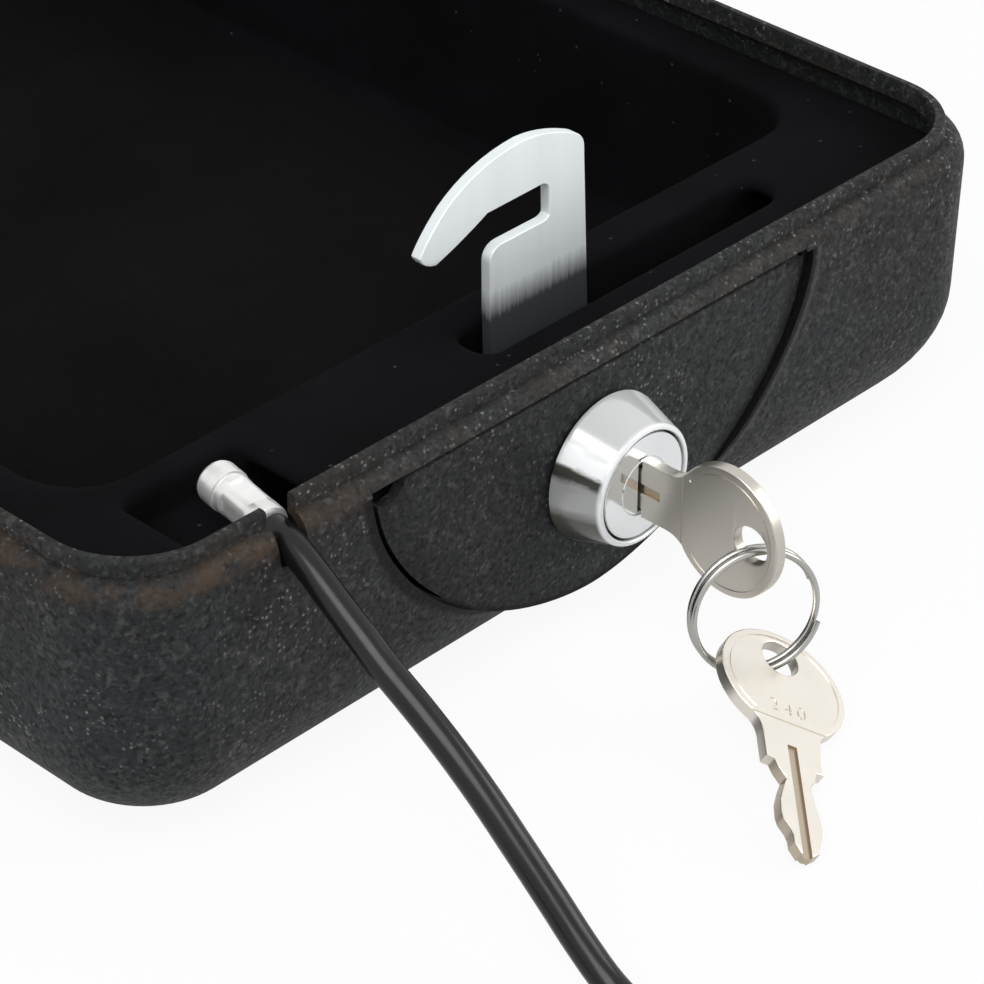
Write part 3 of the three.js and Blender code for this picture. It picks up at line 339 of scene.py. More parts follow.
def new_group(name, inputs, outputs):
    """An empty shader group with float and vector sockets."""
    group = bpy.data.node_groups.new(name, "ShaderNodeTree")
    for socket, kind, default in inputs:
        made = group.interface.new_socket(socket, in_out="INPUT", socket_type=kind)
        if default is not None:
            made.default_value = default
    for socket, kind in outputs:
        group.interface.new_socket(socket, in_out="OUTPUT", socket_type=kind)
    return group, group.nodes.new("NodeGroupInput"), group.nodes.new("NodeGroupOutput")


def grain_group():
    """Fine relief in cells and noise: its height and a slow tint."""
    name = "grain"
    if name in bpy.data.node_groups:
        return bpy.data.node_groups[name]
    group, source, sink = new_group(
        name,
        [("Vector", "NodeSocketVector", None), ("Scale", "NodeSocketFloat", 1000.0),
         ("Cells", "NodeSocketFloat", 0.5)],
        [("Height", "NodeSocketFloat"), ("Tint", "NodeSocketFloat")])
    fine = add_node(group, "ShaderNodeTexNoise", {
        "Vector": source.outputs["Vector"], "Scale": source.outputs["Scale"], "Detail": 3.0, "Roughness": 0.55})
    cells = add_node(group, "ShaderNodeTexVoronoi", {
        "Vector": source.outputs["Vector"], "Scale": source.outputs["Scale"], "Smoothness": 0.6},
        feature="SMOOTH_F1")
    slow = add_node(group, "ShaderNodeTexNoise", {
        "Vector": source.outputs["Vector"], "Scale": add_math(group, "MULTIPLY", source.outputs["Scale"], 0.02),
        "Detail": 4.0, "Roughness": 0.6})
    dimples = add_math(group, "MULTIPLY", cells.outputs["Distance"], source.outputs["Cells"])
    group.links.new(add_math(group, "SUBTRACT", fine.outputs[0], dimples), sink.inputs["Height"])
    group.links.new(map_range(group, slow.outputs[0], 0.35, 0.65), sink.inputs["Tint"])
    return group


def specks_group():
    """Sparse small dots: where a cell's own number is over a limit, a dot of part of its size."""
    name = "specks"
    if name in bpy.data.node_groups:
        return bpy.data.node_groups[name]
    group, source, sink = new_group(
        name,
        [("Vector", "NodeSocketVector", None), ("Scale", "NodeSocketFloat", 900.0),
         ("Share", "NodeSocketFloat", 0.1), ("Size", "NodeSocketFloat", 0.4)],
        [("Mask", "NodeSocketFloat")])
    cells = add_node(group, "ShaderNodeTexVoronoi", {
        "Vector": source.outputs["Vector"], "Scale": source.outputs["Scale"]})
    parts = add_node(group, "ShaderNodeSeparateColor", {0: cells.outputs["Color"]})
    chosen = add_math(group, "LESS_THAN", parts.outputs[0], source.outputs["Share"])
    near = add_math(group, "SUBTRACT", source.outputs["Size"], cells.outputs["Distance"])
    soft = map_range(group, near, 0.0, 0.15)
    group.links.new(add_math(group, "MULTIPLY", chosen, soft), sink.inputs["Mask"])
    return group


def streaks_group():
    """Brushing along one direction: coordinates come in already stretched."""
    name = "streaks"
    if name in bpy.data.node_groups:
        return bpy.data.node_groups[name]
    group, source, sink = new_group(
        name,
        [("Vector", "NodeSocketVector", None), ("Stretch", "NodeSocketVector", (900.0, 900.0, 30.0))],
        [("Fine", "NodeSocketFloat"), ("Broad", "NodeSocketFloat")])
    drawn = add_node(group, "ShaderNodeVectorMath", {0: source.outputs["Vector"], 1: source.outputs["Stretch"]},
                     operation="MULTIPLY")
    fine = add_node(group, "ShaderNodeTexNoise", {
        "Vector": drawn.outputs[0], "Scale": 2.0, "Detail": 5.0, "Roughness": 0.7})
    broad = add_node(group, "ShaderNodeTexNoise", {
        "Vector": drawn.outputs[0], "Scale": 0.35, "Detail": 3.0, "Roughness": 0.6})
    group.links.new(fine.outputs[0], sink.inputs["Fine"])
    group.links.new(map_range(group, broad.outputs[0], 0.35, 0.65), sink.inputs["Broad"])
    return group


def use_group(tree, group, inputs):
    return add_node(tree, "ShaderNodeGroup", inputs, node_tree=group)


def start_material(name):
    """A material with a Principled shader and object coordinates."""
    material = bpy.data.materials.new(name)
    material.use_nodes = True
    tree = material.node_tree
    tree.nodes.clear()
    shader = add_node(tree, "ShaderNodeBsdfPrincipled")
    add_node(tree, "ShaderNodeOutputMaterial", {"Surface": shader.outputs[0]})
    place = add_node(tree, "ShaderNodeTexCoord").outputs["Object"]
    return material, tree, shader, place


def join(tree, shader, **sockets):
    for name, value in sockets.items():
        socket = shader.inputs[name.replace("_", " ")]
        if isinstance(value, bpy.types.NodeSocket):
            tree.links.new(value, socket)
        else:
            socket.default_value = value


def add_bump(tree, height, distance, strength=1.0):
    return add_node(tree, "ShaderNodeBump", {
        "Height": height, "Distance": distance, "Strength": strength}).outputs[0]


def solid_colour(colour):
    return (*colour, 1.0)


def add_separate(tree, vector):
    return add_node(tree, "ShaderNodeSeparateXYZ", {0: vector}).outputs


def pad_shading(tree, place, colour):
    """Paints shade into the hollow round the lock pad and into the crease at its outline, and paints a highlight
    along the ridge outside it.
    """
    x, y, z = add_separate(tree, place)
    across = add_math(tree, "MULTIPLY", add_math(tree, "SUBTRACT", x, LOCK_X * MM), 1 / (PAD_HALF_WIDTH * MM))
    upward = add_math(tree, "MULTIPLY", add_math(tree, "SUBTRACT", z, PAD_TOP * MM), 1 / (PAD_HEIGHT * MM))
    power = 2 / PAD_BEND
    total = add_math(tree, "ADD", add_math(tree, "POWER", add_math(tree, "ABSOLUTE", across), power),
                     add_math(tree, "POWER", add_math(tree, "ABSOLUTE", upward), power))
    reach = add_math(tree, "POWER", total, 1 / power)
    inside = add_math(tree, "MULTIPLY", add_math(tree, "SUBTRACT", 1.0, reach), 34.0)
    on_front = add_math(tree, "MULTIPLY", add_math(tree, "LESS_THAN", y, (FRONT + 3) * MM),
                        add_math(tree, "LESS_THAN", z, PAD_TOP * MM))
    left = map_range(tree, x, (LOCK_X - 18) * MM, (LOCK_X - 32) * MM)
    offset = add_math(tree, "ADD", inside, add_math(tree, "MULTIPLY", left, 0.5))
    # Painted shade in the crease at the pad's outline, wider on the left
    crease_shade = add_math(tree, "DIVIDE", add_math(tree, "ABSOLUTE", offset), add_math(
        tree, "ADD", 0.95, add_math(tree, "MULTIPLY", left, 0.45)))
    crease_shade = map_range(tree, crease_shade, 0.45, 1.0, 0.96, 0.0)
    # Painted shade in the hollow, darkest at the outline
    hollow = add_math(tree, "MULTIPLY", map_range(tree, inside, 0.0, 7.0, 0.5, 0.12),
                      add_math(tree, "GREATER_THAN", inside, 0.0))
    dark = add_math(tree, "MULTIPLY", add_math(tree, "MAXIMUM", crease_shade, hollow), on_front)
    # Painted highlight along the ridge just outside the outline
    ridge_highlight = add_math(tree, "MULTIPLY", map_range(tree, add_math(
        tree, "ABSOLUTE", add_math(tree, "ADD", inside, 1.15)), 0.2, 0.55, 0.4, 0.0), on_front)
    ridge_highlight = add_math(tree, "MULTIPLY", ridge_highlight, add_math(tree, "SUBTRACT", 1.0, left))
    shaded = mix_colours(tree, dark, colour, CREASE_PAINTED_SHADE)
    return mix_colours(tree, ridge_highlight, shaded, RIDGE_PAINTED_HIGHLIGHT)


def powder_coat(with_pad_shade=False):
    """Textured charcoal coat: fine cells with painted shade in their dimples, light specks painted as glints, slow
    tints and a rubbed rim.
    """
    name = "textured_coat_pad" if with_pad_shade else "textured_coat"
    if name in bpy.data.materials:
        return bpy.data.materials[name]
    colours = bpy.context.scene.safe_colours
    material, tree, shader, place = start_material(name)
    grain = use_group(tree, grain_group(), {"Vector": place, "Scale": 1500.0, "Cells": 0.5})
    specks = use_group(tree, specks_group(), {"Vector": place, "Scale": 1600.0, "Share": 0.3, "Size": 0.4})
    clumps = add_node(tree, "ShaderNodeTexNoise", {"Vector": place, "Scale": 900.0, "Detail": 4.0,
                                                   "Roughness": 0.6, "Distortion": 0.8}).outputs[0]
    fields = add_node(tree, "ShaderNodeTexNoise", {"Vector": place, "Scale": 42.0, "Detail": 3.0,
                                                   "Roughness": 0.6}).outputs[0]
    tint = mix_colours(tree, grain.outputs["Tint"], solid_colour(colours.coat), COAT_SLOW_TINT)
    tint = mix_colours(tree, map_range(tree, clumps, 0.5, 0.72, 0.0, 0.85), tint, COAT_CLUMP)
    # The coat's dimples take a painted shade, darker where the grain is low
    deep = mix_colours(tree, map_range(tree, grain.outputs["Height"], -0.05, 0.26), COAT_DIMPLE_SHADE, tint)
    # Painted glints: sparse light specks, fainter in some fields
    painted_glints = add_math(tree, "MULTIPLY", specks.outputs["Mask"], map_range(tree, fields, 0.44, 0.6, 0.12, 0.95))
    colour = mix_colours(tree, add_math(tree, "MULTIPLY", painted_glints, map_range(tree, clumps, 0.36, 0.56)), deep,
                         COAT_PAINTED_GLINT)
    x, _, height = add_separate(tree, place)
    low, full, fading, high = RUBBED_RIM
    rim = add_math(tree, "MULTIPLY", map_range(tree, height, low, full),
                   map_range(tree, height, fading, high, 1.0, 0.3))
    patches = add_node(tree, "ShaderNodeTexNoise", {"Vector": place, "Scale": 190.0, "Detail": 5.0,
                                                    "Roughness": 0.7}).outputs[0]
    worn = add_math(tree, "MULTIPLY", rim, map_range(tree, patches, 0.4, 0.6), clamp=True)
    worn = add_math(tree, "MULTIPLY", worn, map_range(tree, x, -0.03, -0.058, 0.3, 0.9))
    colour = mix_colours(tree, worn, colour, solid_colour(colours.worn_coat))
    # On the base, painted shade in the pad's hollow and crease, and a painted highlight on the ridge outside it
    if with_pad_shade:
        colour = pad_shading(tree, place, colour)
    join(tree, shader, Base_Color=colour, Roughness=map_range(tree, grain.outputs["Height"], 0.0, 0.5, 0.7, 0.5),
         Specular_IOR_Level=0.16,
         Normal=add_bump(tree, grain.outputs["Height"], bpy.context.scene.safe_sizes.coating_bump, 0.8))
    return material


def flocked_liner():
    """Matt black moulded liner with a short flock."""
    if "flocked_liner" in bpy.data.materials:
        return bpy.data.materials["flocked_liner"]
    material, tree, shader, place = start_material("flocked_liner")
    grain = use_group(tree, grain_group(), {"Vector": place, "Scale": 2600.0, "Cells": 0.2})
    specks = use_group(tree, specks_group(), {"Vector": place, "Scale": 800.0, "Share": 0.035, "Size": 0.22})
    base = mix_colours(tree, grain.outputs["Tint"], solid_colour(bpy.context.scene.safe_colours.liner),
                       LINER_TINT)
    colour = mix_colours(tree, add_math(tree, "MULTIPLY", specks.outputs["Mask"], 0.25), base,
                         LINER_SPECK)
    join(tree, shader, Base_Color=colour, Roughness=map_range(tree, grain.outputs["Height"], 0.2, 0.7, 1.0, 0.9),
         Specular_IOR_Level=0.04, Normal=add_bump(tree, grain.outputs["Height"], 0.12 * MM, 0.8))
    return material


def dark_foam():
    """Felt-faced foam of the mat and the lid's lining."""
    if "dark_foam" in bpy.data.materials:
        return bpy.data.materials["dark_foam"]
    material, tree, shader, place = start_material("dark_foam")
    grain = use_group(tree, grain_group(), {"Vector": place, "Scale": 1400.0, "Cells": 0.35})
    colour = mix_colours(tree, grain.outputs["Tint"], solid_colour(bpy.context.scene.safe_colours.foam),
                         FOAM_TINT)
    join(tree, shader, Base_Color=colour, Roughness=map_range(tree, grain.outputs["Height"], 0.2, 0.7, 1.0, 0.88),
         Specular_IOR_Level=0.05, Normal=add_bump(tree, grain.outputs["Height"], 0.25 * MM, 0.9))
    return material


def plated(name, colour, dark, stretch, roughness, relief, wash=0.35, metal=1.0):
    """Plated metal: streaks in colour, roughness and relief."""
    if name in bpy.data.materials:
        return bpy.data.materials[name]
    material, tree, shader, place = start_material(name)
    streaks = use_group(tree, streaks_group(), {"Vector": place, "Stretch": stretch})
    shade = add_math(tree, "MULTIPLY", streaks.outputs["Broad"], wash)
    tone = mix_colours(tree, shade, solid_colour(colour), solid_colour(dark))
    low, high = roughness
    join(tree, shader, Base_Color=tone, Metallic=metal,
         Roughness=map_range(tree, streaks.outputs["Fine"], 0.3, 0.7, low, high),
         Normal=add_bump(tree, streaks.outputs["Fine"], relief, 0.6))
    return material


def zinc():
    colour = bpy.context.scene.safe_colours.zinc
    return plated("bright_zinc", colour, [c * 0.7 for c in colour], (420.0, 420.0, 20.0), (0.34, 0.46),
                  0.0015 * MM, 0.2, 0.5)


def lock_angle(tree, place):
    """Angle about the lock's axis, as a part of a turn from the right and upwards."""
    x, _, z = add_separate(tree, place)
    upward = add_math(tree, "SUBTRACT", z, LOCK_Z * MM)
    across = add_math(tree, "SUBTRACT", x, LOCK_X * MM)
    turn = add_math(tree, "ARCTAN2", upward, across)
    return add_math(tree, "FRACT", add_math(tree, "ADD", add_math(tree, "DIVIDE", turn, math.tau), 1.0))


def cone_chrome():
    """Turned chrome of the lock's cone, with painted reflections as light and dark bands that run along it."""
    name = "turned_chrome"
    if name in bpy.data.materials:
        return bpy.data.materials[name]
    material, tree, shader, place = start_material(name)
    streaks = use_group(tree, streaks_group(), {"Vector": place, "Stretch": (380.0, 30.0, 380.0)})
    wander = map_range(tree, streaks.outputs["Fine"], 0.3, 0.7, -0.006, 0.006)
    around = add_math(tree, "ADD", lock_angle(tree, place), wander)
    # Painted reflections: light and dark bands by angle round the lock's axis
    ramp = add_node(tree, "ShaderNodeValToRGB", {0: around})
    elements = ramp.color_ramp.elements
    while len(elements) > 1:
        elements.remove(elements[-1])
    for index, (angle, level) in enumerate(CONE_PAINTED_REFLECTIONS):
        stop = elements[0] if index == 0 else elements.new(angle / 360)
        stop.position = angle / 360
        stop.color = (level, level * 1.01, level * (1.02 if level > 0.1 else 0.85), 1.0)
    y = add_separate(tree, place)["Y"]
    side = map_range(tree, y, (FRONT + TRIM_FRONT + 0.2) * MM, (FRONT + TRIM_FRONT + 0.75) * MM)
    tone = mix_colours(tree, side, CONE_FACE, ramp.outputs[0])
    join(tree, shader, Base_Color=tone, Metallic=0.3,
         Roughness=map_range(tree, streaks.outputs["Fine"], 0.3, 0.7, 0.12, 0.2),
         Normal=add_bump(tree, streaks.outputs["Fine"], 0.0012 * MM, 0.6))
    return material


def hook_plate():
    """Bright zinc with painted shade and a painted dark reflection of the ledge, in streaks, towards the hook's
    root.
    """
    name = "hook_plate"
    if name in bpy.data.materials:
        return bpy.data.materials[name]
    colour = bpy.context.scene.safe_colours.zinc
    material, tree, shader, place = start_material(name)
    streaks = use_group(tree, streaks_group(), {"Vector": place, "Stretch": (900.0, 420.0, 26.0)})
    z = add_separate(tree, place)["Z"]
    lifted = add_math(tree, "ADD", z, map_range(tree, streaks.outputs["Fine"], 0.3, 0.7, -0.0007, 0.0007))
    # Painted shade and reflection of the dark ledge, rising in streaks from the hook's root
    root_shade = map_range(tree, lifted, *HOOK_SHADE_HEIGHTS, 0.95, 0.0)
    tone = mix_colours(tree, map_range(tree, streaks.outputs["Broad"], 0.0, 1.0, 0.0, 0.2), solid_colour(colour),
                       solid_colour([c * 0.8 for c in colour]))
    tone = mix_colours(tree, root_shade, tone, HOOK_ROOT_PAINTED_SHADE)
    join(tree, shader, Base_Color=tone, Metallic=0.25,
         Roughness=map_range(tree, streaks.outputs["Fine"], 0.3, 0.7, 0.34, 0.46),
         Normal=add_bump(tree, streaks.outputs["Fine"], 0.0015 * MM, 0.6))
    return material


def chrome():
    return plated("polished_chrome", (0.84, 0.86, 0.87), (0.6, 0.61, 0.62), (300.0, 120.0, 300.0), (0.09, 0.16),
                  0.0012 * MM, 0.3, 0.82)


def nickel(name, level):
    """Nickel plate, with brass where the mesh is marked bare; a level below one gives a darker copy as painted
    shade.
    """
    colour = [part * level for part in bpy.context.scene.safe_colours.nickel]
    material = plated(name, colour, [c * 0.86 for c in colour], (120.0, 120.0, 120.0), (0.27, 0.34),
                      0.0003 * MM, 0.4, 0.95)
    tree = material.node_tree
    shader = tree.nodes["Principled BSDF"]
    plate = shader.inputs["Base Color"].links[0].from_socket
    bare = add_node(tree, "ShaderNodeAttribute", attribute_name="bare").outputs["Fac"]
    join(tree, shader, Base_Color=mix_colours(tree, add_math(tree, "MULTIPLY", bare, 0.75), plate,
                                              BARE_BRASS))
    return material


def ring_steel():
    return plated("ring_steel", (0.46, 0.45, 0.43), (0.2, 0.19, 0.175), (300.0, 300.0, 300.0), (0.16, 0.3),
                  0.01 * MM)


def crimped_metal():
    return plated("crimped_metal", (0.93, 0.93, 0.92), (0.66, 0.66, 0.65), (260.0, 700.0, 260.0), (0.28, 0.42),
                  0.02 * MM, 0.5, 0.55)


def cable_jacket():
    """Glossy black coating with slight waves from the wire rope in it."""
    if "cable_jacket" in bpy.data.materials:
        return bpy.data.materials["cable_jacket"]
    material, tree, shader, place = start_material("cable_jacket")
    grain = use_group(tree, grain_group(), {"Vector": place, "Scale": 500.0, "Cells": 0.15})
    colour = mix_colours(tree, grain.outputs["Tint"], solid_colour(bpy.context.scene.safe_colours.jacket),
                         JACKET_TINT)
    join(tree, shader, Base_Color=colour, Roughness=map_range(tree, grain.outputs["Height"], 0.2, 0.7, 0.2, 0.3),
         Specular_IOR_Level=0.34, Normal=add_bump(tree, grain.outputs["Height"], 0.02 * MM, 0.5))
    return material


# Mesh helpers, all in millimetres

def add_object(name, data):
    obj = bpy.data.objects.new(name, data)
    bpy.context.scene.collection.objects.link(obj)
    return obj


def seal(mesh, distance):
    """Merges the points closer than a distance in metres, and turns the normals outwards."""
    work = bmesh.new()
    work.from_mesh(mesh)
    bmesh.ops.remove_doubles(work, verts=work.verts, dist=distance)
    bmesh.ops.recalc_face_normals(work, faces=work.faces)
    work.to_mesh(mesh)
    work.free()
    return mesh


def mesh_from(name, points, faces):
    """A new object from points in millimetres, with its normals turned outwards."""
    mesh = bpy.data.meshes.new(name)
    mesh.from_pydata([Vector(point) * MM for point in points], [], faces)
    return add_object(name, seal(mesh, 1e-7))


def loft(name, rings):
    """A closed body through rings of the same number of points, capped at both ends."""
    count = len(rings[0])
    faces = []
    for level in range(len(rings) - 1):
        for i in range(count):
            a = level * count + i
            b = level * count + (i + 1) % count
            faces.append((a, b, b + count, a + count))
    last = (len(rings) - 1) * count
    faces.append(tuple(reversed(range(count))))
    faces.append(tuple(range(last, last + count)))
    return mesh_from(name, [point for ring in rings for point in ring], faces)


def box_body(name, low, high):
    x0, y0, z0 = low
    x1, y1, z1 = high
    return loft(name, [[(x0, y0, z), (x1, y0, z), (x1, y1, z), (x0, y1, z)] for z in (z0, z1)])


def rod_y(name, radius, y_min, y_max, x, z, steps=40):
    def ring(y):
        return [(x + radius * math.cos(math.tau * i / steps), y, z + radius * math.sin(math.tau * i / steps))
                for i in range(steps)]
    return loft(name, [ring(y_min), ring(y_max)])


def rod_z(name, radius, z_min, z_max, x, y, steps=32):
    def ring(z):
        return [(x + radius * math.cos(math.tau * i / steps), y + radius * math.sin(math.tau * i / steps), z)
                for i in range(steps)]
    return loft(name, [ring(z_min), ring(z_max)])


def turned(name, profile, steps=96, hollow=True):
    """A profile of (radius, distance behind the case's front), turned about the lock's axis."""
    points = []
    for radius, y in profile:
        for i in range(steps):
            angle = math.tau * i / steps
            points.append((LOCK_X + radius * math.cos(angle), FRONT + y, LOCK_Z + radius * math.sin(angle)))
    count = len(profile)
    faces = []
    for row in range(count if hollow else count - 1):
        below = (row + 1) % count
        for i in range(steps):
            j = (i + 1) % steps
            faces.append((row * steps + i, row * steps + j, below * steps + j, below * steps + i))
    if not hollow:
        faces.append(tuple(range(steps)))
        faces.append(tuple(reversed(range((count - 1) * steps, count * steps))))
    return mesh_from(name, points, faces)


def rounded_ring(half_x, half_y, radius, z, steps):
    """A rounded rectangle at one height."""
    ring = []
    for side_x, side_y, start in ((1, -1, -90), (1, 1, 0), (-1, 1, 90), (-1, -1, 180)):
        for i in range(steps + 1):
            angle = math.radians(start + 90 * i / steps)
            ring.append((side_x * (half_x - radius) + radius * math.cos(angle),
                         side_y * (half_y - radius) + radius * math.sin(angle), z))
    return ring


def settle(obj, kind, **settings):
    """Adds a modifier and makes its result the object's own mesh."""
    modifier = obj.modifiers.new(kind.lower(), kind)
    for name, value in settings.items():
        setattr(modifier, name, value)
    graph = bpy.context.evaluated_depsgraph_get()
    mesh = bpy.data.meshes.new_from_object(obj.evaluated_get(graph))
    old = obj.data
    obj.modifiers.clear()
    obj.data = mesh
    bpy.data.meshes.remove(old)
    return obj


def combine(obj, tool, operation):
    """Cuts the tool from the object, or joins it, and removes the tool."""
    settle(obj, "BOOLEAN", object=tool, operation=operation, solver="EXACT")
    bpy.data.objects.remove(tool)
    return obj


def cut(obj, tool):
    return combine(obj, tool, "DIFFERENCE")


def weld(obj, tool):
    return combine(obj, tool, "UNION")


def turn_mesh(obj, matrix):
    """Moves the mesh itself, so that the object stays at the origin."""
    obj.data.transform(matrix)
    return obj


def complete(obj, name, material, body, replaced=(), sharp=32.0):
    """Names, shades and dresses a finished piece, and hands it to the frame."""
    if not obj.data.polygons:
        raise RuntimeError(f"{name} has no faces")
    obj.name = name
    obj.data.name = name
    obj.data.materials.clear()
    obj.data.materials.append(material)
    obj.data.shade_smooth()
    obj.data.set_sharp_from_angle(angle=math.radians(sharp))
    normals = obj.modifiers.new("even_faces", "WEIGHTED_NORMAL")
    normals.keep_sharp = True
    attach(obj, body)
    if replaced:
        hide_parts(*replaced)
    return obj


def dress_node(name, material, edge=0.15):
    """Keeps one of the frame's solids and softens its edges."""
    obj = frame["nodes"][name]
    if not obj.material_slots:
        obj.data.materials.append(material)
    for slot in obj.material_slots:
        slot.link = "OBJECT"
        slot.material = material
    obj.modifiers.new("weld", "WELD").merge_threshold = 1e-6
    bevel = obj.modifiers.new("soft_edges", "BEVEL")
    bevel.width = edge * MM
    bevel.segments = 2
    bevel.limit_method = "ANGLE"
    bevel.angle_limit = math.radians(35)
    return obj


def smooth_route(points, steps):
    """Points along a smooth curve through the given ones, evenly many between each two."""
    route = []
    last = len(points) - 1
    for i in range(last):
        before = Vector(points[max(i - 1, 0)])
        start = Vector(points[i])
        end = Vector(points[i + 1])
        after = Vector(points[min(i + 2, last)])
        handle_out = start + (end - before) / 6
        handle_in = end - (after - start) / 6
        route.extend(interpolate_bezier(start, handle_out, handle_in, end, steps + 1)[:-1])
    route.append(Vector(points[last]))
    return route


def sweep(name, points, radius, sides=12):
    """A round wire along points, closed at both ends."""
    rings = []
    side = None
    for i, point in enumerate(points):
        along = (points[min(i + 1, len(points) - 1)] - points[max(i - 1, 0)]).normalized()
        if side is None:
            side = along.orthogonal().normalized()
        side = (side - along * side.dot(along)).normalized()
        up = along.cross(side)
        rings.append([point + radius * (side * math.cos(math.tau * k / sides)
                                        + up * math.sin(math.tau * k / sides)) for k in range(sides)])
    return loft(name, rings)


def curve_body(name, curve, distance):
    """The body that a filled curve or a text makes, as an object with a mesh of its own."""
    source = add_object(name, curve)
    graph = bpy.context.evaluated_depsgraph_get()
    mesh = bpy.data.meshes.new_from_object(source.evaluated_get(graph))
    bpy.data.objects.remove(source)
    return add_object(name, seal(mesh, distance))


def flat_plate(name, outline, holes, thickness, edge):
    """A plate drawn in X and Y with rounded edges, its middle at Z 0."""
    curve = bpy.data.curves.new(name, "CURVE")
    curve.dimensions = "2D"
    curve.fill_mode = "BOTH"
    curve.extrude = (thickness / 2 - edge) * MM
    curve.bevel_depth = edge * MM
    curve.bevel_resolution = 2
    curve.offset = -edge * MM
    for loop in (outline, *holes):
        spline = curve.splines.new("POLY")
        spline.points.add(len(loop) - 1)
        for target, (x, y) in zip(spline.points, loop):
            target.co = (x * MM, y * MM, 0.0, 1.0)
        spline.use_cyclic_u = True
    return curve_body(name, curve, 2e-6)


# Case

def foot_profile(thickness, radius=FOOT_RADIUS):
    """Height and inset of the skin round the foot, up to the straight wall."""
    foot = WALL_DRAFT * (SHOULDER_HEIGHT - radius)
    bend = radius - thickness
    steps = 14
    rows = []
    for i in range(steps + 1):
        angle = math.pi / 2 * (1 - i / steps)
        rows.append((radius - bend * math.sin(angle), foot + radius - bend * math.cos(angle)))
    return rows


def stack(name, profile, steps):
    return loft(name, [rounded_ring(HALF_WIDTH - inset, HALF_DEPTH - inset, CORNER_RADIUS - inset * CORNER_TAPER,
                                    z, steps) for z, inset in profile])


def base_skin(name, thickness, rim_rows, steps):
    profile = foot_profile(thickness)
    for i in range(9):
        angle = math.pi / 2 * i / 8
        profile.append((SHOULDER_HEIGHT - thickness / 2 + SHOULDER_RISE * math.sin(angle),
                        thickness + NECK_INSET * (1 - math.cos(angle))))
    return stack(name, profile + rim_rows, steps)


def pad_point(inset, y, top, angle):
    """A point of the pad's outline: half an oval, a little flatter at its lower corners than an ellipse."""
    across = math.copysign(abs(math.cos(angle)) ** PAD_BEND, math.cos(angle))
    down = -abs(math.sin(angle)) ** PAD_BEND
    return (LOCK_X + (PAD_HALF_WIDTH - inset) * across, y, top + (PAD_HEIGHT - inset) * down)


def pad_ring(y, inset, top):
    return [pad_point(inset, y, top, math.pi * (1 + i / PAD_STEPS)) for i in range(PAD_STEPS + 1)]


def pad_body(thickness):
    """The pad behind its face, with the hollow that runs round it."""
    face = FRONT + thickness
    top = PAD_TOP + PAD_OVERLAP / 2
    rings = [pad_ring(FRONT + FOOT_RADIUS, thickness - PAD_OVERLAP, top)]
    rise = PAD_TROUGH - PAD_RECESS
    for part in (0.0, 0.2, 0.4, 0.6, 0.8, 1.0):
        depth = PAD_RECESS + rise * (1 + math.cos(math.pi * part)) / 2
        inset = thickness + PAD_TROUGH_WIDTH * part - (PAD_OVERLAP if part == 0 else 0)
        rings.append(pad_ring(face + depth, inset, top))
    return loft("pad", rings)


def pad_room(thickness):
    return loft("pad_room", [pad_ring(y, thickness, PAD_TOP) for y in (FRONT + FOOT_RADIUS, FRONT - 1)])


def cut_slit(shell):
    """The slit over the pad with its relief ends, its torn left end and the crack that runs down from there."""
    outside, inside = FRONT - 1, FRONT + FRONT_CUT_DEPTH
    half = PAD_HALF_WIDTH - 1
    top = PAD_TOP + SLIT_WIDTH
    cut(shell, box_body("slit", (LOCK_X - half, outside, PAD_TOP), (LOCK_X + half, inside, top)))
    for side in (-1, 1):
        middle = LOCK_X + side * (half - SLIT_END_LENGTH / 2)
        cut(shell, box_body("slit_end", (middle - SLIT_END_LENGTH / 2, outside, top - SLIT_END_WIDTH),
                            (middle + SLIT_END_LENGTH / 2, inside, top)))
    cut(shell, loft("tear", [[(LOCK_X - half + x, y, PAD_TOP + z) for x, z in TEAR_OUTLINE]
                             for y in (outside, inside)]))
    deep = FRONT + CRACK_DEPTH
    crack = []
    for i in range(15):
        part = i / 14
        angle = math.pi * (1 + CRACK_TURN * part)
        spread = CRACK_END_WIDTH + CRACK_WIDTH * (1 - part) ** 0.7
        crack.append([pad_point(CRACK_INSET + side * spread, y, PAD_TOP, angle)
                      for side, y in ((-1, outside), (1, outside), (1, deep), (-1, deep))])
    cut(shell, loft("crack", crack))


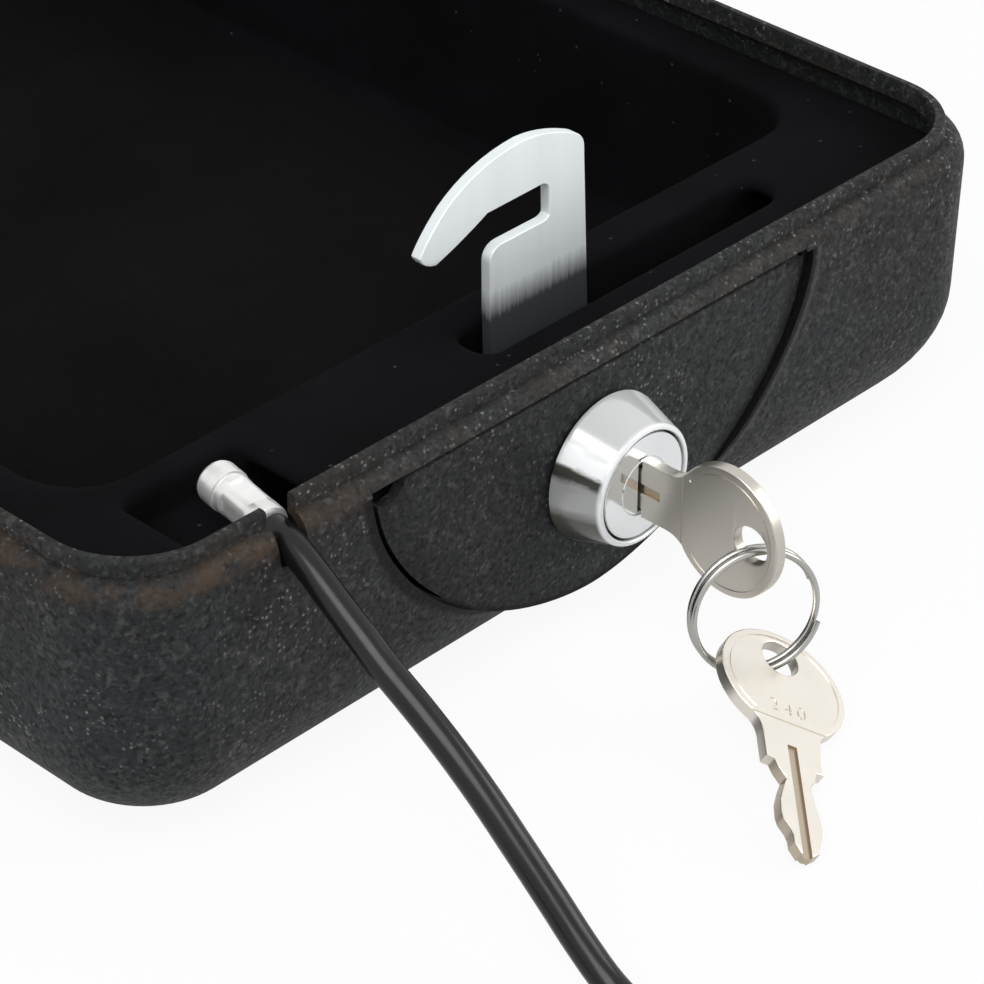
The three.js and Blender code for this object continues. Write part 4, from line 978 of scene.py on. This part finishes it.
def build_case_base(sizes):
    sheet = sizes.sheet / MM
    steps = sizes.corner_steps
    outer_rim = [(RIM_HEIGHT - RIM_ROUND, NECK_INSET), (RIM_HEIGHT - 0.13, NECK_INSET + 0.13),
                 (RIM_HEIGHT, NECK_INSET + RIM_ROUND)]
    inner = sheet + NECK_INSET
    inner_rim = [(RIM_HEIGHT - RIM_ROUND, inner), (RIM_HEIGHT - 0.13, inner - 0.1),
                 (RIM_HEIGHT + 2, inner - RIM_ROUND)]
    shell = weld(cut(base_skin("case_base", 0.0, outer_rim, steps), pad_room(0.0)), pad_body(0.0))
    hollow = weld(cut(base_skin("hollow", sheet, inner_rim, steps), pad_room(sheet)), pad_body(sheet))
    cut(shell, hollow)
    cut_slit(shell)
    notch = CABLE_DIAMETER / 2 + GAP
    slot = rod_y("notch", notch, FRONT - 1, FRONT + 6, NOTCH_X, NOTCH_HEIGHT)
    weld(slot, box_body("notch_top", (NOTCH_X - notch, FRONT - 1, NOTCH_HEIGHT),
                        (NOTCH_X + notch, FRONT + 6, RIM_HEIGHT + 1)))
    cut(shell, slot)
    cut(shell, rod_y("lock_hole", BARREL_RADIUS + GAP, FRONT - 1, FRONT + FRONT_CUT_DEPTH, LOCK_X, LOCK_Z))
    rivet_z = HINGE_Z - LEAF_DROP - LEAF_HEIGHT * LEAF_HOLE_PART
    for x in (-RIVET_X, RIVET_X):
        cut(shell, rod_y("rivet_hole", RIVET_RADIUS + GAP, BACK - 4, BACK + 1, x, rivet_z, 24))
    return complete(shell, "case_base", powder_coat(with_pad_shade=True), "base", ["base_shell"], 28)


def build_liner(sizes):
    wall = sizes.sheet / MM + GAP + 0.5
    body = stack("liner", foot_profile(wall) + [(LEDGE_TOP, wall + 0.2)], 12)
    rings = [(POCKET_FLOOR, 3.5), (POCKET_FLOOR + 0.9, 1.6), (POCKET_FLOOR + 3, 0.7), (LEDGE_TOP - 1.2, 0.2),
             (LEDGE_TOP - 0.35, 0.2), (LEDGE_TOP, -0.5), (LEDGE_TOP + 1, -0.5)]
    pocket = loft("pocket", [rounded_ring(POCKET_HALF_WIDTH - inset, POCKET_HALF_DEPTH - inset,
                                          POCKET_RADIUS - inset, z, 10) for z, inset in rings])
    turn_mesh(pocket, Matrix.Translation(Vector((POCKET_X, FRONT + POCKET_FRONT + POCKET_HALF_DEPTH, 0)) * MM))
    cut(body, pocket)
    for name, front, back in (("front_hollow", FRONT - 1, FRONT + SLOT_BACK), ("back_hollow", BACK - 10, BACK + 1)):
        cut(body, box_body(name, (LINER_HOLLOW_LEFT, front, -1), (LINER_HOLLOW_RIGHT, back, LEDGE_TOP - LINER_WALL)))
    half_x = (SLOT_RIGHT - SLOT_LEFT) / 2
    half_y = (SLOT_BACK - SLOT_FRONT) / 2
    slot = loft("slot", [rounded_ring(half_x, half_y, 2.2, z, 6) for z in (LEDGE_TOP - 4, LEDGE_TOP + 1)])
    turn_mesh(slot, Matrix.Translation(Vector((SLOT_LEFT + half_x, FRONT + SLOT_FRONT + half_y, 0)) * MM))
    cut(body, slot)
    cut(body, box_body("niche", (NICHE_LEFT, FRONT - 1, LEDGE_TOP - 6.2),
                       (NICHE_RIGHT, FRONT + NICHE_BACK, LEDGE_TOP + 1)))
    weld(body, box_body("niche_floor", (NICHE_LEFT - 1.5, FRONT + 3.2, LEDGE_TOP - 8),
                        (NICHE_RIGHT + 1.5, FRONT + NICHE_BACK + 1, LEDGE_TOP - 6.2)))
    settle(body, "REMESH", mode="VOXEL", voxel_size=sizes.liner_grain)
    settle(body, "SMOOTH", factor=0.5, iterations=3)
    return complete(body, "liner_tray_flocked", flocked_liner(), "base", ["liner_tray"], 60)


def build_mat():
    bottom = POCKET_FLOOR + GAP
    rows = [(0.0, 0.3), (0.4, 0.0), (MAT_THICKNESS - 0.7, 0.0), (MAT_THICKNESS - 0.25, 0.2), (MAT_THICKNESS, 0.8)]
    mat = loft("mat", [rounded_ring(POCKET_HALF_WIDTH - MAT_MARGIN - inset, POCKET_HALF_DEPTH - MAT_MARGIN - inset,
                                    5, bottom + rise, 8) for rise, inset in rows])
    turn_mesh(mat, Matrix.Translation(Vector((POCKET_X, FRONT + POCKET_FRONT + POCKET_HALF_DEPTH, 0)) * MM))
    complete(mat, "floor_mat", dark_foam(), "base", ["pocket_mat"])
    return mat


def open_lid():
    """The turn that brings what is drawn on the closed lid to where it stands at rest."""
    pivot = Vector((0, HINGE_Y, HINGE_Z)) * MM
    return Matrix.Translation(pivot) @ Matrix.Rotation(-LID_OPEN_ANGLE, 4, "X") @ Matrix.Translation(-pivot)


def build_lid(sizes):
    sheet = sizes.sheet / MM
    skirt = HINGE_Z

    def flipped(thickness, skirt_rows):
        return skirt_rows + [(CLOSED_HEIGHT - z, inset) for z, inset in reversed(foot_profile(
            thickness, LID_EDGE_RADIUS))]

    lid = stack("lid", flipped(0.0, [(skirt, 0.4), (skirt + 0.12, 0.12), (skirt + 0.4, 0.0)]), sizes.corner_steps)
    cut(lid, stack("lid_hollow", flipped(sheet, [(skirt - 1, sheet - 0.4), (skirt, sheet - 0.4),
                                                 (skirt + 0.4, sheet)]), sizes.corner_steps))
    for x in (-RIVET_X, RIVET_X):
        cut(lid, rod_y("rivet_hole", RIVET_RADIUS + GAP, BACK - 4, BACK + 1, x,
                       CLOSED_HEIGHT - LID_EDGE_RADIUS - 0.85, 24))
    for side in (-1, 1):
        cut(lid, rod_z("rivet_hole", 1.8, CLOSED_HEIGHT - 3, CLOSED_HEIGHT + 3, LOCK_X + side * KEEPER_RIVET_SPREAD,
                       KEEPER_RIVET_Y))
    turn_mesh(lid, open_lid())
    return complete(lid, "lid_pressing", powder_coat(), "lid", ["lid_shell"], 28)


def build_lining(sizes):
    top = CLOSED_HEIGHT - sizes.sheet / MM - GAP
    half_width = HALF_WIDTH - LINING_MARGIN
    half_depth = (2 * HALF_DEPTH - LINING_MARGIN - LINING_FRONT_MARGIN) / 2
    rows = [(LINING_THICKNESS, 1.0), (LINING_THICKNESS * 0.85, 0.3), (LINING_THICKNESS * 0.6, 0.0), (0.0, 0.0)]
    lining = loft("lining", [rounded_ring(half_width - inset, half_depth - inset, LINING_RADIUS, top - depth, 8)
                             for depth, inset in rows])
    turn_mesh(lining, Matrix.Translation(Vector((0, FRONT + LINING_FRONT_MARGIN + half_depth, 0)) * MM))
    turn_mesh(lining, open_lid())
    complete(lining, "lid_pad", dark_foam(), "lid", ["lid_lining"])
    return lining


# Lock and hook

def build_trim():
    bore = DISC_RADIUS + GAP
    profile = [(bore, TRIM_BACK), (TRIM_BASE_RADIUS - 0.2, TRIM_BACK), (TRIM_BASE_RADIUS, TRIM_BACK - 0.2),
               (TRIM_BASE_RADIUS - 0.06, TRIM_BACK - 0.7)]
    for i in range(7):
        angle = math.pi / 2 * i / 6
        profile.append((TRIM_FACE_RADIUS - 0.6 + 0.6 * math.cos(angle), TRIM_FRONT + 0.6 - 0.6 * math.sin(angle)))
    profile += [(bore + 0.12, TRIM_FRONT), (bore, TRIM_FRONT + 0.12)]
    trim = turned("trim", profile, 128)
    return complete(trim, "lock_cone", cone_chrome(), "base", ["lock_trim_ring"], 30)


def build_plug():
    back = millimetres("lock_barrel")[1][1] - FRONT + 0.4
    front = KEY_PLANE_FRONT
    profile = [(0.01, front), (PLUG_RADIUS - 0.1, front), (PLUG_RADIUS, front + 0.12), (PLUG_RADIUS + 0.1, front),
               (DISC_RADIUS - 0.3, front), (DISC_RADIUS - 0.08, front + 0.08), (DISC_RADIUS, front + 0.3),
               (DISC_RADIUS, front + DISC_THICKNESS), (PLUG_RADIUS, front + DISC_THICKNESS), (PLUG_RADIUS, back),
               (0.01, back)]
    plug = turned("plug", profile, 96, hollow=False)
    half = TAIL_SIDE / 2
    end = HOOK_PLANE + HOOK_THICKNESS
    weld(plug, box_body("tail", (LOCK_X - half, FRONT + back - 0.5, LOCK_Z - half),
                        (LOCK_X + half, FRONT + end - 0.1, LOCK_Z + half)))
    weld(plug, rod_y("stud", STUD_RADIUS, FRONT + back - 0.3, FRONT + end + 1.9, LOCK_X, LOCK_Z))
    slot = KEY_THICKNESS / 2 + GAP
    cut(plug, box_body("keyway", (LOCK_X - slot, FRONT + front - 1, LOCK_Z - 3 - GAP),
                       (LOCK_X + slot, FRONT + front + 18, LOCK_Z + 3 + GAP)))
    return complete(plug, "plug_disc", chrome(), "plug", ["lock_plug"], 30)


def hook_points():
    outline = [(HOOK_OUTLINE[0][0], HOOK_OUTLINE[0][1])]
    for row in HOOK_OUTLINE[1:]:
        if len(row) == 2:
            outline.append(row)
            continue
        x0, z0 = outline[-1]
        for i in range(1, 9):
            t = i / 8
            outline.append(((1 - t) ** 2 * x0 + 2 * t * (1 - t) * row[0] + t * t * row[2],
                            (1 - t) ** 2 * z0 + 2 * t * (1 - t) * row[1] + t * t * row[3]))
    points = [(LOCK_X + x * HOOK_REACH, LOCK_Z + z * HOOK_REACH) for x, z in outline]
    start = math.atan2(0.9, -0.42)
    end = math.pi * 1.75
    for i in range(25):
        angle = start + (end - start) * i / 24
        points.append((LOCK_X + HOOK_HUB_RADIUS * math.cos(angle), LOCK_Z + HOOK_HUB_RADIUS * math.sin(angle)))
    points.append((LOCK_X + HOOK_OUTLINE[0][0] * HOOK_REACH, LOCK_Z + 0.152 * HOOK_REACH))
    return points


def build_hook():
    half = TAIL_SIDE / 2 + GAP
    hole = [(LOCK_X + x * half, LOCK_Z + z * half) for x, z in ((-1, -1), (1, -1), (1, 1), (-1, 1))]
    hook = flat_plate("hook", hook_points(), [hole], HOOK_THICKNESS, 0.16)
    upright = Matrix.Rotation(math.pi / 2, 4, "X")
    middle = Vector((0, FRONT + HOOK_PLANE + HOOK_THICKNESS / 2, 0)) * MM
    turn_mesh(hook, Matrix.Translation(middle) @ upright)
    return complete(hook, "locking_hook", hook_plate(), "plug", ["cam_hook"], 30)


# Keys and ring

def key_outline():
    chord = math.acos(BOW_CHORD / BOW_HALF_LENGTH)
    start = math.pi / 2 + chord
    end = math.pi / 2 - chord + math.tau
    points = [(BOW_HALF_WIDTH * math.cos(start + (end - start) * i / 56),
               BOW_HALF_LENGTH * math.sin(start + (end - start) * i / 56)) for i in range(57)]

    def bend(first, handle, last):
        return [tuple((1 - t) ** 2 * a + 2 * t * (1 - t) * b + t * t * c for a, b, c in zip(first, handle, last))
                for t in (0.2, 0.4, 0.6, 0.8, 1.0)]

    neck = BOW_CHORD + 2.6
    points += bend(points[-1], (NECK_HALF_WIDTH, BOW_CHORD + 1), (NECK_HALF_WIDTH, neck))
    points.append((NECK_HALF_WIDTH, KEY_STOP))
    for along, across in reversed(BLADE_LEFT + BLADE_RIGHT):
        points.append((-across, KEY_STOP + along))
    points.append((-NECK_HALF_WIDTH, KEY_STOP))
    first = (-NECK_HALF_WIDTH, neck)
    points.append(first)
    points += bend(first, (-NECK_HALF_WIDTH, BOW_CHORD + 1), points[0])[:-1]
    return points


def key_blank():
    """One key, drawn along Y with its faces up and down."""
    angles = [math.tau * i / 40 for i in range(40)]
    hole = [(KEY_HOLE_RADIUS * math.cos(angle), KEY_HOLE_OFFSET + KEY_HOLE_RADIUS * math.sin(angle))
            for angle in angles]
    key = flat_plate("key", key_outline(), [hole], KEY_THICKNESS, 0.18)
    deep = KEY_THICKNESS / 2
    for face in (-1, 1):
        low, high = sorted((face * (deep - 0.32), face * (deep + 1)))
        cut(key, box_body("blade_groove", (-0.8, BLADE_GROOVE_START, low), (0.5, KEY_STOP + BLADE_LENGTH + 1, high)))
        low, high = sorted((face * (deep - 0.12), face * (deep + 1)))
        cut(key, box_body("chord_step", (-BOW_HALF_WIDTH, BOW_CHORD - 0.15, low),
                          (BOW_HALF_WIDTH, BOW_CHORD + 0.2, high)))
    return key


def mark_bare(key):
    """Marks the faces where cutting has laid the brass bare: the groove and the blade's cut edges."""
    bare = key.data.attributes.new("bare", "FLOAT", "FACE")
    for face in key.data.polygons:
        x, y, z = face.center / MM
        on_blade = y > KEY_STOP + 0.3 and abs(face.normal.z) < 0.5
        in_groove = y > BLADE_GROOVE_START and abs(x + 0.15) < 0.7 and abs(z) < KEY_THICKNESS / 2 - 0.02
        bare.data[face.index].value = 1.0 if in_groove else 0.8 if on_blade else 0.0
    return key


def bow_groove(key, face):
    """A fine groove inside the bow's edge, which leaves a raised border."""
    deep = KEY_THICKNESS / 2
    chord = math.acos((BOW_CHORD - 0.9) / (BOW_HALF_LENGTH - 1.0))
    start = math.pi / 2 + chord
    end = math.pi / 2 - chord + math.tau
    rings = []
    for i in range(49):
        angle = start + (end - start) * i / 48
        section = []
        for inset, rise in ((0.85, -0.1), (1.15, -0.1), (1.15, 1.0), (0.85, 1.0)):
            section.append(((BOW_HALF_WIDTH - inset) * math.cos(angle), (BOW_HALF_LENGTH - inset) * math.sin(angle),
                            face * (deep + rise)))
        rings.append(section)
    return cut(key, loft("bow_groove", rings))


def engrave(key, text, along, depth, height):
    """Cuts a plain number into the key's lower face, to be read with the blade down."""
    curve = bpy.data.curves.new("number", "FONT")
    curve.body = text
    curve.size = height * 1.4 * MM
    curve.space_character = 1.35
    curve.align_x = "CENTER"
    curve.align_y = "CENTER"
    curve.extrude = depth * MM
    tool = curve_body("number", curve, 1e-6)
    place = Vector((0, along, -KEY_THICKNESS / 2)) * MM
    return cut(key, turn_mesh(tool, Matrix.Translation(place) @ Matrix.Rotation(math.pi, 4, "X")))


def build_keys():
    first = key_blank()
    for face in (-1, 1):
        bow_groove(first, face)
    second = add_object("key_copy", first.data.copy())
    engrave(second, KEY_NUMBER, 4.3, 0.15, 2.0)
    mark_bare(first)
    mark_bare(second)
    bow = Vector((LOCK_X, KEY_BOW_Y, LOCK_Z)) * MM
    turn_mesh(first, Matrix.Translation(bow) @ Matrix.Rotation(math.pi / 2, 4, "Y"))
    # The key in the lock takes a darker copy of the nickel: painted shade for the dark case it reflects
    complete(first, "key_in_lock", nickel("handled_nickel", 0.72), "lock_key", ["key_1"], 30)
    along = Vector((math.cos(KEY_LEAN) * math.cos(KEY_HEADING), math.cos(KEY_LEAN) * math.sin(KEY_HEADING),
                    math.sin(KEY_LEAN)))
    level = along.cross(Vector((0, 0, 1))).normalized()
    rise = level.cross(along)
    across = level * math.cos(KEY_ROLL) + rise * math.sin(KEY_ROLL)
    normal = along.cross(across)
    seat = ring_point(KEY_RING_ANGLE) + along * (0.3 - KEY_HOLE_OFFSET)
    # The blank's X lies across the key, downwards, so that its engraved face looks the right way
    axes = Matrix((-across, along, normal)).transposed().to_4x4()
    turn_mesh(second, Matrix.Translation(seat * MM) @ axes)
    complete(second, "spare_key", nickel("bright_nickel", 1.02), "spare_key", ["key_2"], 30)


def ring_axes():
    right = Vector((0, 0, 1)).cross(RING_NORMAL).normalized()
    up = RING_NORMAL.cross(right).normalized()
    hole_y = KEY_BOW_Y + KEY_HOLE_OFFSET
    centre = Vector((LOCK_X, hole_y, LOCK_Z - RING_SAG)) - up * RING_RADIUS
    return right, up, centre


def ring_point(angle, lift=0.0):
    right, up, centre = ring_axes()
    return centre + RING_RADIUS * (right * math.sin(angle) - up * math.cos(angle)) + RING_NORMAL * lift


def build_ring():
    steps = 200
    points = [ring_point(math.tau * (RING_TURNS * i / steps + 0.3), (i / steps - 0.5) * RING_PITCH * RING_TURNS)
              for i in range(steps + 1)]
    return complete(sweep("ring", points, RING_WIRE_RADIUS), "split_ring", ring_steel(), "ring",
                    ["key_ring"], 50)


# Cable

def coil_point(turn):
    angle = -math.tau * turn
    radius = COIL_RADIUS - COIL_PITCH * min(turn, COIL_TURNS - turn)
    part = min(max((turn - COIL_EACH_WAY) / 0.5, 0.0), 1.0)
    climb = part * part * (3 - 2 * part)
    return Vector((COIL_X + radius * math.cos(angle), COIL_Y + radius * math.sin(angle),
                   FLOOR_Z + COIL_PITCH * climb))


def cable_points():
    """The whole cable in millimetres: run, coil, tail, sleeve and eye."""
    points = smooth_route([(x, FRONT + y, z) for x, y, z in RUN_ROUTE], 4)
    steps = round(COIL_TURNS * 48)
    points += [coil_point(COIL_TURNS * i / steps) for i in range(steps + 1)]
    tail_x = COIL_X - COIL_RADIUS
    start = COIL_Y + CABLE_DIAMETER + GAP
    top = FLOOR_Z + COIL_PITCH
    low = CABLE_DIAMETER / 2 + 0.75
    tail = [(tail_x, start + part * TAIL_LENGTH, z) for part, z in (
        (0, top), (0.25, top - 0.5), (0.6, (top + low) / 2 - 0.2), (0.85, low + 0.1), (1, low))]
    sleeve_end = start + TAIL_LENGTH + GAP + SLEEVE_LENGTH
    eye_start = sleeve_end + GAP
    spacing = CABLE_DIAMETER + 0.3
    middle = tail_x - spacing / 2
    centre = eye_start + EYE_RADIUS * 1.9
    height = low - 0.3
    eye = [(tail_x, sleeve_end - 4, low - 0.1), (tail_x, eye_start, height), (tail_x + 0.4, eye_start + 2.5, height)]
    for i in range(9):
        angle = math.radians(-25 + 230 * i / 8)
        eye.append((middle + EYE_RADIUS * math.cos(angle), centre + EYE_RADIUS * math.sin(angle), height))
    eye += [(tail_x - spacing - 0.4, eye_start + 2.5, height), (tail_x - spacing, eye_start, height),
            (tail_x - spacing, sleeve_end - 7, low)]
    return points + smooth_route(tail + eye, 5)


def build_cable():
    points = cable_points()
    curve = bpy.data.curves.new("tether_cable", "CURVE")
    curve.dimensions = "3D"
    curve.bevel_depth = CABLE_DIAMETER / 2 * MM
    curve.bevel_resolution = 6
    curve.use_fill_caps = True
    spline = curve.splines.new("POLY")
    spline.points.add(len(points) - 1)
    for target, point in zip(spline.points, points):
        target.co = (*(point * MM), 1.0)
    cable = add_object("tether_cable", curve)
    curve.materials.append(cable_jacket())
    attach(cable, "base")
    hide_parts("cable_run", "cable_coil", "cable_tail", "cable_eye")
    return cable


def build_ferrule():
    """The collar and the crimped barrel of the cable's inner end."""
    steps = 64
    rows = [(0.0, 0.01), (0.0, FERRULE_RADIUS - 0.5), (0.15, FERRULE_RADIUS - 0.15), (0.5, FERRULE_RADIUS),
            (2.2, FERRULE_RADIUS), (2.5, FERRULE_RADIUS - 0.04), (4.6, FERRULE_RADIUS - 0.05),
            (6.7, FERRULE_RADIUS - 0.04), (7.0, FERRULE_RADIUS), (8.0, FERRULE_RADIUS),
            (8.08, FERRULE_RADIUS - 0.14), (8.3, FERRULE_RADIUS - 0.14), (8.4, FERRULE_RADIUS + 0.15),
            (8.6, FERRULE_RADIUS + 0.2), (10.9, FERRULE_RADIUS + 0.2), (11.25, FERRULE_RADIUS + 0.08),
            (FERRULE_LENGTH, FERRULE_RADIUS - 0.25), (FERRULE_LENGTH, 0.01)]
    rings = []
    for y, radius in rows:
        ring = []
        crimp = CRIMP_DEPTH if CRIMP_START < y < CRIMP_END else 0.0
        for i in range(steps):
            angle = math.tau * i / steps
            flat = radius - crimp * (0.5 + 0.5 * math.cos(4 * angle)) * (radius > 1)
            ring.append((flat * math.cos(angle), y, flat * math.sin(angle)))
        rings.append(ring)
    ferrule = loft("ferrule", rings)
    place = Vector((RUN_ROUTE[0][0], FRONT + RUN_ROUTE[0][1] + GAP, CABLE_HEIGHT)) * MM
    turn_mesh(ferrule, Matrix.Translation(place) @ Matrix.Rotation(-math.atan(FERRULE_SLOPE), 4, "Z"))
    return complete(ferrule, "crimped_ferrule", crimped_metal(), "base", ["cable_ferrule"], 35)


# Stage

CAMERA_PLACE = Vector((-0.290878, -0.367879, 0.280909))
CAMERA_RIGHT = Vector((0.69100, -0.72284, 0.00523))
CAMERA_UP = Vector((0.40134, 0.38966, 0.82891))
CAMERA_BACK = Vector((-0.60120, -0.57067, 0.55936))
CAMERA_LENS = 142.7
LAMP_TARGET = (0.0, -0.05, 0.02)
LAMPS = (("key_lamp", (-0.7, -0.5, 1.1), 0.9, 11.0), ("fill_lamp", (0.9, -0.9, 0.7), 0.8, 7.5))
WORLD_LEVEL = 0.42
FLOOR_HALF_SIDE = 1600.0
FLOOR_GREY = 0.86
FLOOR_SHOWN = 0.92
FLOOR_REFLECTED = 0.3


def build_camera():
    camera = bpy.data.cameras.new("camera")
    camera.lens = CAMERA_LENS
    camera.sensor_width = 36.0
    camera.clip_start = 0.01
    obj = add_object("camera", camera)
    turn = Matrix((CAMERA_RIGHT, CAMERA_UP, CAMERA_BACK)).transposed().to_4x4()
    obj.matrix_world = Matrix.Translation(CAMERA_PLACE) @ turn
    bpy.context.scene.camera = obj


def add_lamp(name, place, size, power):
    light = bpy.data.lights.new(name, "AREA")
    light.size = size
    light.energy = power
    aim = (Vector(LAMP_TARGET) - Vector(place)).to_track_quat("-Z", "Y")
    add_object(name, light).matrix_world = Matrix.Translation(Vector(place)) @ aim.to_matrix().to_4x4()


def build_world():
    world = bpy.data.worlds.new("studio")
    bpy.context.scene.world = world
    world.use_nodes = True
    tree = world.node_tree
    tree.nodes.clear()
    path = add_node(tree, "ShaderNodeLightPath")
    seen = add_math(tree, "MAXIMUM", path.outputs["Is Camera Ray"], path.outputs["Is Glossy Ray"])
    seen = add_math(tree, "MAXIMUM", seen, path.outputs["Is Transmission Ray"])
    soft = add_node(tree, "ShaderNodeBackground", {"Color": (1, 1, 1, 1), "Strength": WORLD_LEVEL})
    white = add_node(tree, "ShaderNodeBackground", {"Color": (1, 1, 1, 1), "Strength": 1.0})
    mixed = add_node(tree, "ShaderNodeMixShader", {0: seen, 1: soft.outputs[0], 2: white.outputs[0]})
    add_node(tree, "ShaderNodeOutputWorld", {"Surface": mixed.outputs[0]})


def build_floor():
    half = FLOOR_HALF_SIDE
    corners = [(-half, -half, 0), (half, -half, 0), (half, half, 0), (-half, half, 0)]
    floor = mesh_from("studio_floor", corners, [(0, 1, 2, 3)])
    material = bpy.data.materials.new("studio_floor")
    material.use_nodes = True
    tree = material.node_tree
    tree.nodes.clear()
    path = add_node(tree, "ShaderNodeLightPath")
    matt = add_node(tree, "ShaderNodeBsdfDiffuse", {"Color": (FLOOR_GREY, FLOOR_GREY, FLOOR_GREY, 1)})
    white = add_node(tree, "ShaderNodeEmission", {"Strength": 1.0})
    seen = add_math(tree, "MAXIMUM", path.outputs["Is Camera Ray"], path.outputs["Is Transmission Ray"])
    share = add_math(tree, "MAXIMUM", add_math(tree, "MULTIPLY", seen, FLOOR_SHOWN),
                     add_math(tree, "MULTIPLY", path.outputs["Is Glossy Ray"], FLOOR_REFLECTED))
    mixed = add_node(tree, "ShaderNodeMixShader", {0: share, 1: matt.outputs[0], 2: white.outputs[0]})
    add_node(tree, "ShaderNodeOutputMaterial", {"Surface": mixed.outputs[0]})
    floor.data.materials.append(material)


# Operators

class SAFE_OT_stage(bpy.types.Operator):
    """Camera, soft light and the pale floor"""
    bl_idname = "safe.stage"
    bl_label = "Stage"

    def execute(self, context):
        build_camera()
        build_world()
        build_floor()
        for lamp in LAMPS:
            add_lamp(*lamp)
        context.scene.view_settings.view_transform = "Standard"
        return {"FINISHED"}


class SAFE_OT_cable(bpy.types.Operator):
    """The tether cable in one curve, its sleeve and its trapped ferrule"""
    bl_idname = "safe.cable"
    bl_label = "Cable"

    def execute(self, context):
        dress_node("eye_sleeve", crimped_metal(), 0.3)
        build_cable()
        build_ferrule()
        return {"FINISHED"}


class SAFE_OT_case(bpy.types.Operator):
    """The pressed base with its lock pad"""
    bl_idname = "safe.case"
    bl_label = "Case base"

    def execute(self, context):
        build_case_base(context.scene.safe_sizes)
        return {"FINISHED"}


class SAFE_OT_liner(bpy.types.Operator):
    """The flocked liner and the mat on its floor"""
    bl_idname = "safe.liner"
    bl_label = "Liner"

    def execute(self, context):
        build_liner(context.scene.safe_sizes)
        build_mat()
        return {"FINISHED"}


class SAFE_OT_lid(bpy.types.Operator):
    """The lid, its lining and the keeper that the hook catches"""
    bl_idname = "safe.lid"
    bl_label = "Lid"

    def execute(self, context):
        build_lid(context.scene.safe_sizes)
        build_lining(context.scene.safe_sizes)
        dress_node("lid_keeper", zinc(), 0.2)
        for name in ("keeper_rivet_left", "keeper_rivet_right"):
            dress_node(name, zinc(), 0.12)
        return {"FINISHED"}


class SAFE_OT_hinge(bpy.types.Operator):
    """The hinge's leaves, its pin and their rivets"""
    bl_idname = "safe.hinge"
    bl_label = "Hinge"

    def execute(self, context):
        for name in ("hinge_leaf_base", "hinge_leaf_lid"):
            dress_node(name, powder_coat(), 0.2)
        dress_node("hinge_pin", ring_steel(), 0.1)
        for name in ("base_rivet_left", "base_rivet_right", "lid_rivet_left", "lid_rivet_right"):
            dress_node(name, powder_coat(), 0.15)
        return {"FINISHED"}


class SAFE_OT_lock(bpy.types.Operator):
    """The lock's cone, barrel, washer and nuts"""
    bl_idname = "safe.lock"
    bl_label = "Lock"

    def execute(self, context):
        build_trim()
        build_plug()
        for name in ("lock_barrel", "lock_washer", "lock_nut", "cam_nut"):
            dress_node(name, zinc(), 0.15)
        return {"FINISHED"}


class SAFE_OT_hook(bpy.types.Operator):
    """The hook on the lock's tail"""
    bl_idname = "safe.hook"
    bl_label = "Hook"

    def execute(self, context):
        build_hook()
        return {"FINISHED"}


class SAFE_OT_keys(bpy.types.Operator):
    """Both keys and their split ring"""
    bl_idname = "safe.keys"
    bl_label = "Keys"

    def execute(self, context):
        build_keys()
        build_ring()
        return {"FINISHED"}


OPERATORS = (SAFE_OT_stage, SAFE_OT_cable, SAFE_OT_case, SAFE_OT_liner, SAFE_OT_lid, SAFE_OT_hinge,
             SAFE_OT_lock, SAFE_OT_hook, SAFE_OT_keys)


class SAFE_PT_panel(bpy.types.Panel):
    """Lists the pieces of the safe and their settings"""
    bl_label = "Portable car safe"
    bl_idname = "SAFE_PT_panel"
    bl_space_type = "VIEW_3D"
    bl_region_type = "UI"
    bl_category = "Safe"

    def draw(self, context):
        layout = self.layout
        for settings in (context.scene.safe_sizes, context.scene.safe_colours):
            for name in settings.__annotations__:
                layout.prop(settings, name)
        for operator in OPERATORS:
            layout.operator(operator.bl_idname)


CLASSES = (SafeSizes, SafeColours, *OPERATORS, SAFE_PT_panel)


def register():
    for item in CLASSES:
        bpy.utils.register_class(item)
    bpy.types.Scene.safe_sizes = bpy.props.PointerProperty(type=SafeSizes)
    bpy.types.Scene.safe_colours = bpy.props.PointerProperty(type=SafeColours)


def unregister():
    del bpy.types.Scene.safe_colours
    del bpy.types.Scene.safe_sizes
    for item in reversed(CLASSES):
        bpy.utils.unregister_class(item)


def main():
    register()
    bpy.ops.safe.stage()
    bpy.ops.safe.cable()
    bpy.ops.safe.case()
    bpy.ops.safe.liner()
    bpy.ops.safe.lid()
    bpy.ops.safe.hinge()
    bpy.ops.safe.lock()
    bpy.ops.safe.hook()
    bpy.ops.safe.keys()


if __name__ == "__main__":
    main()
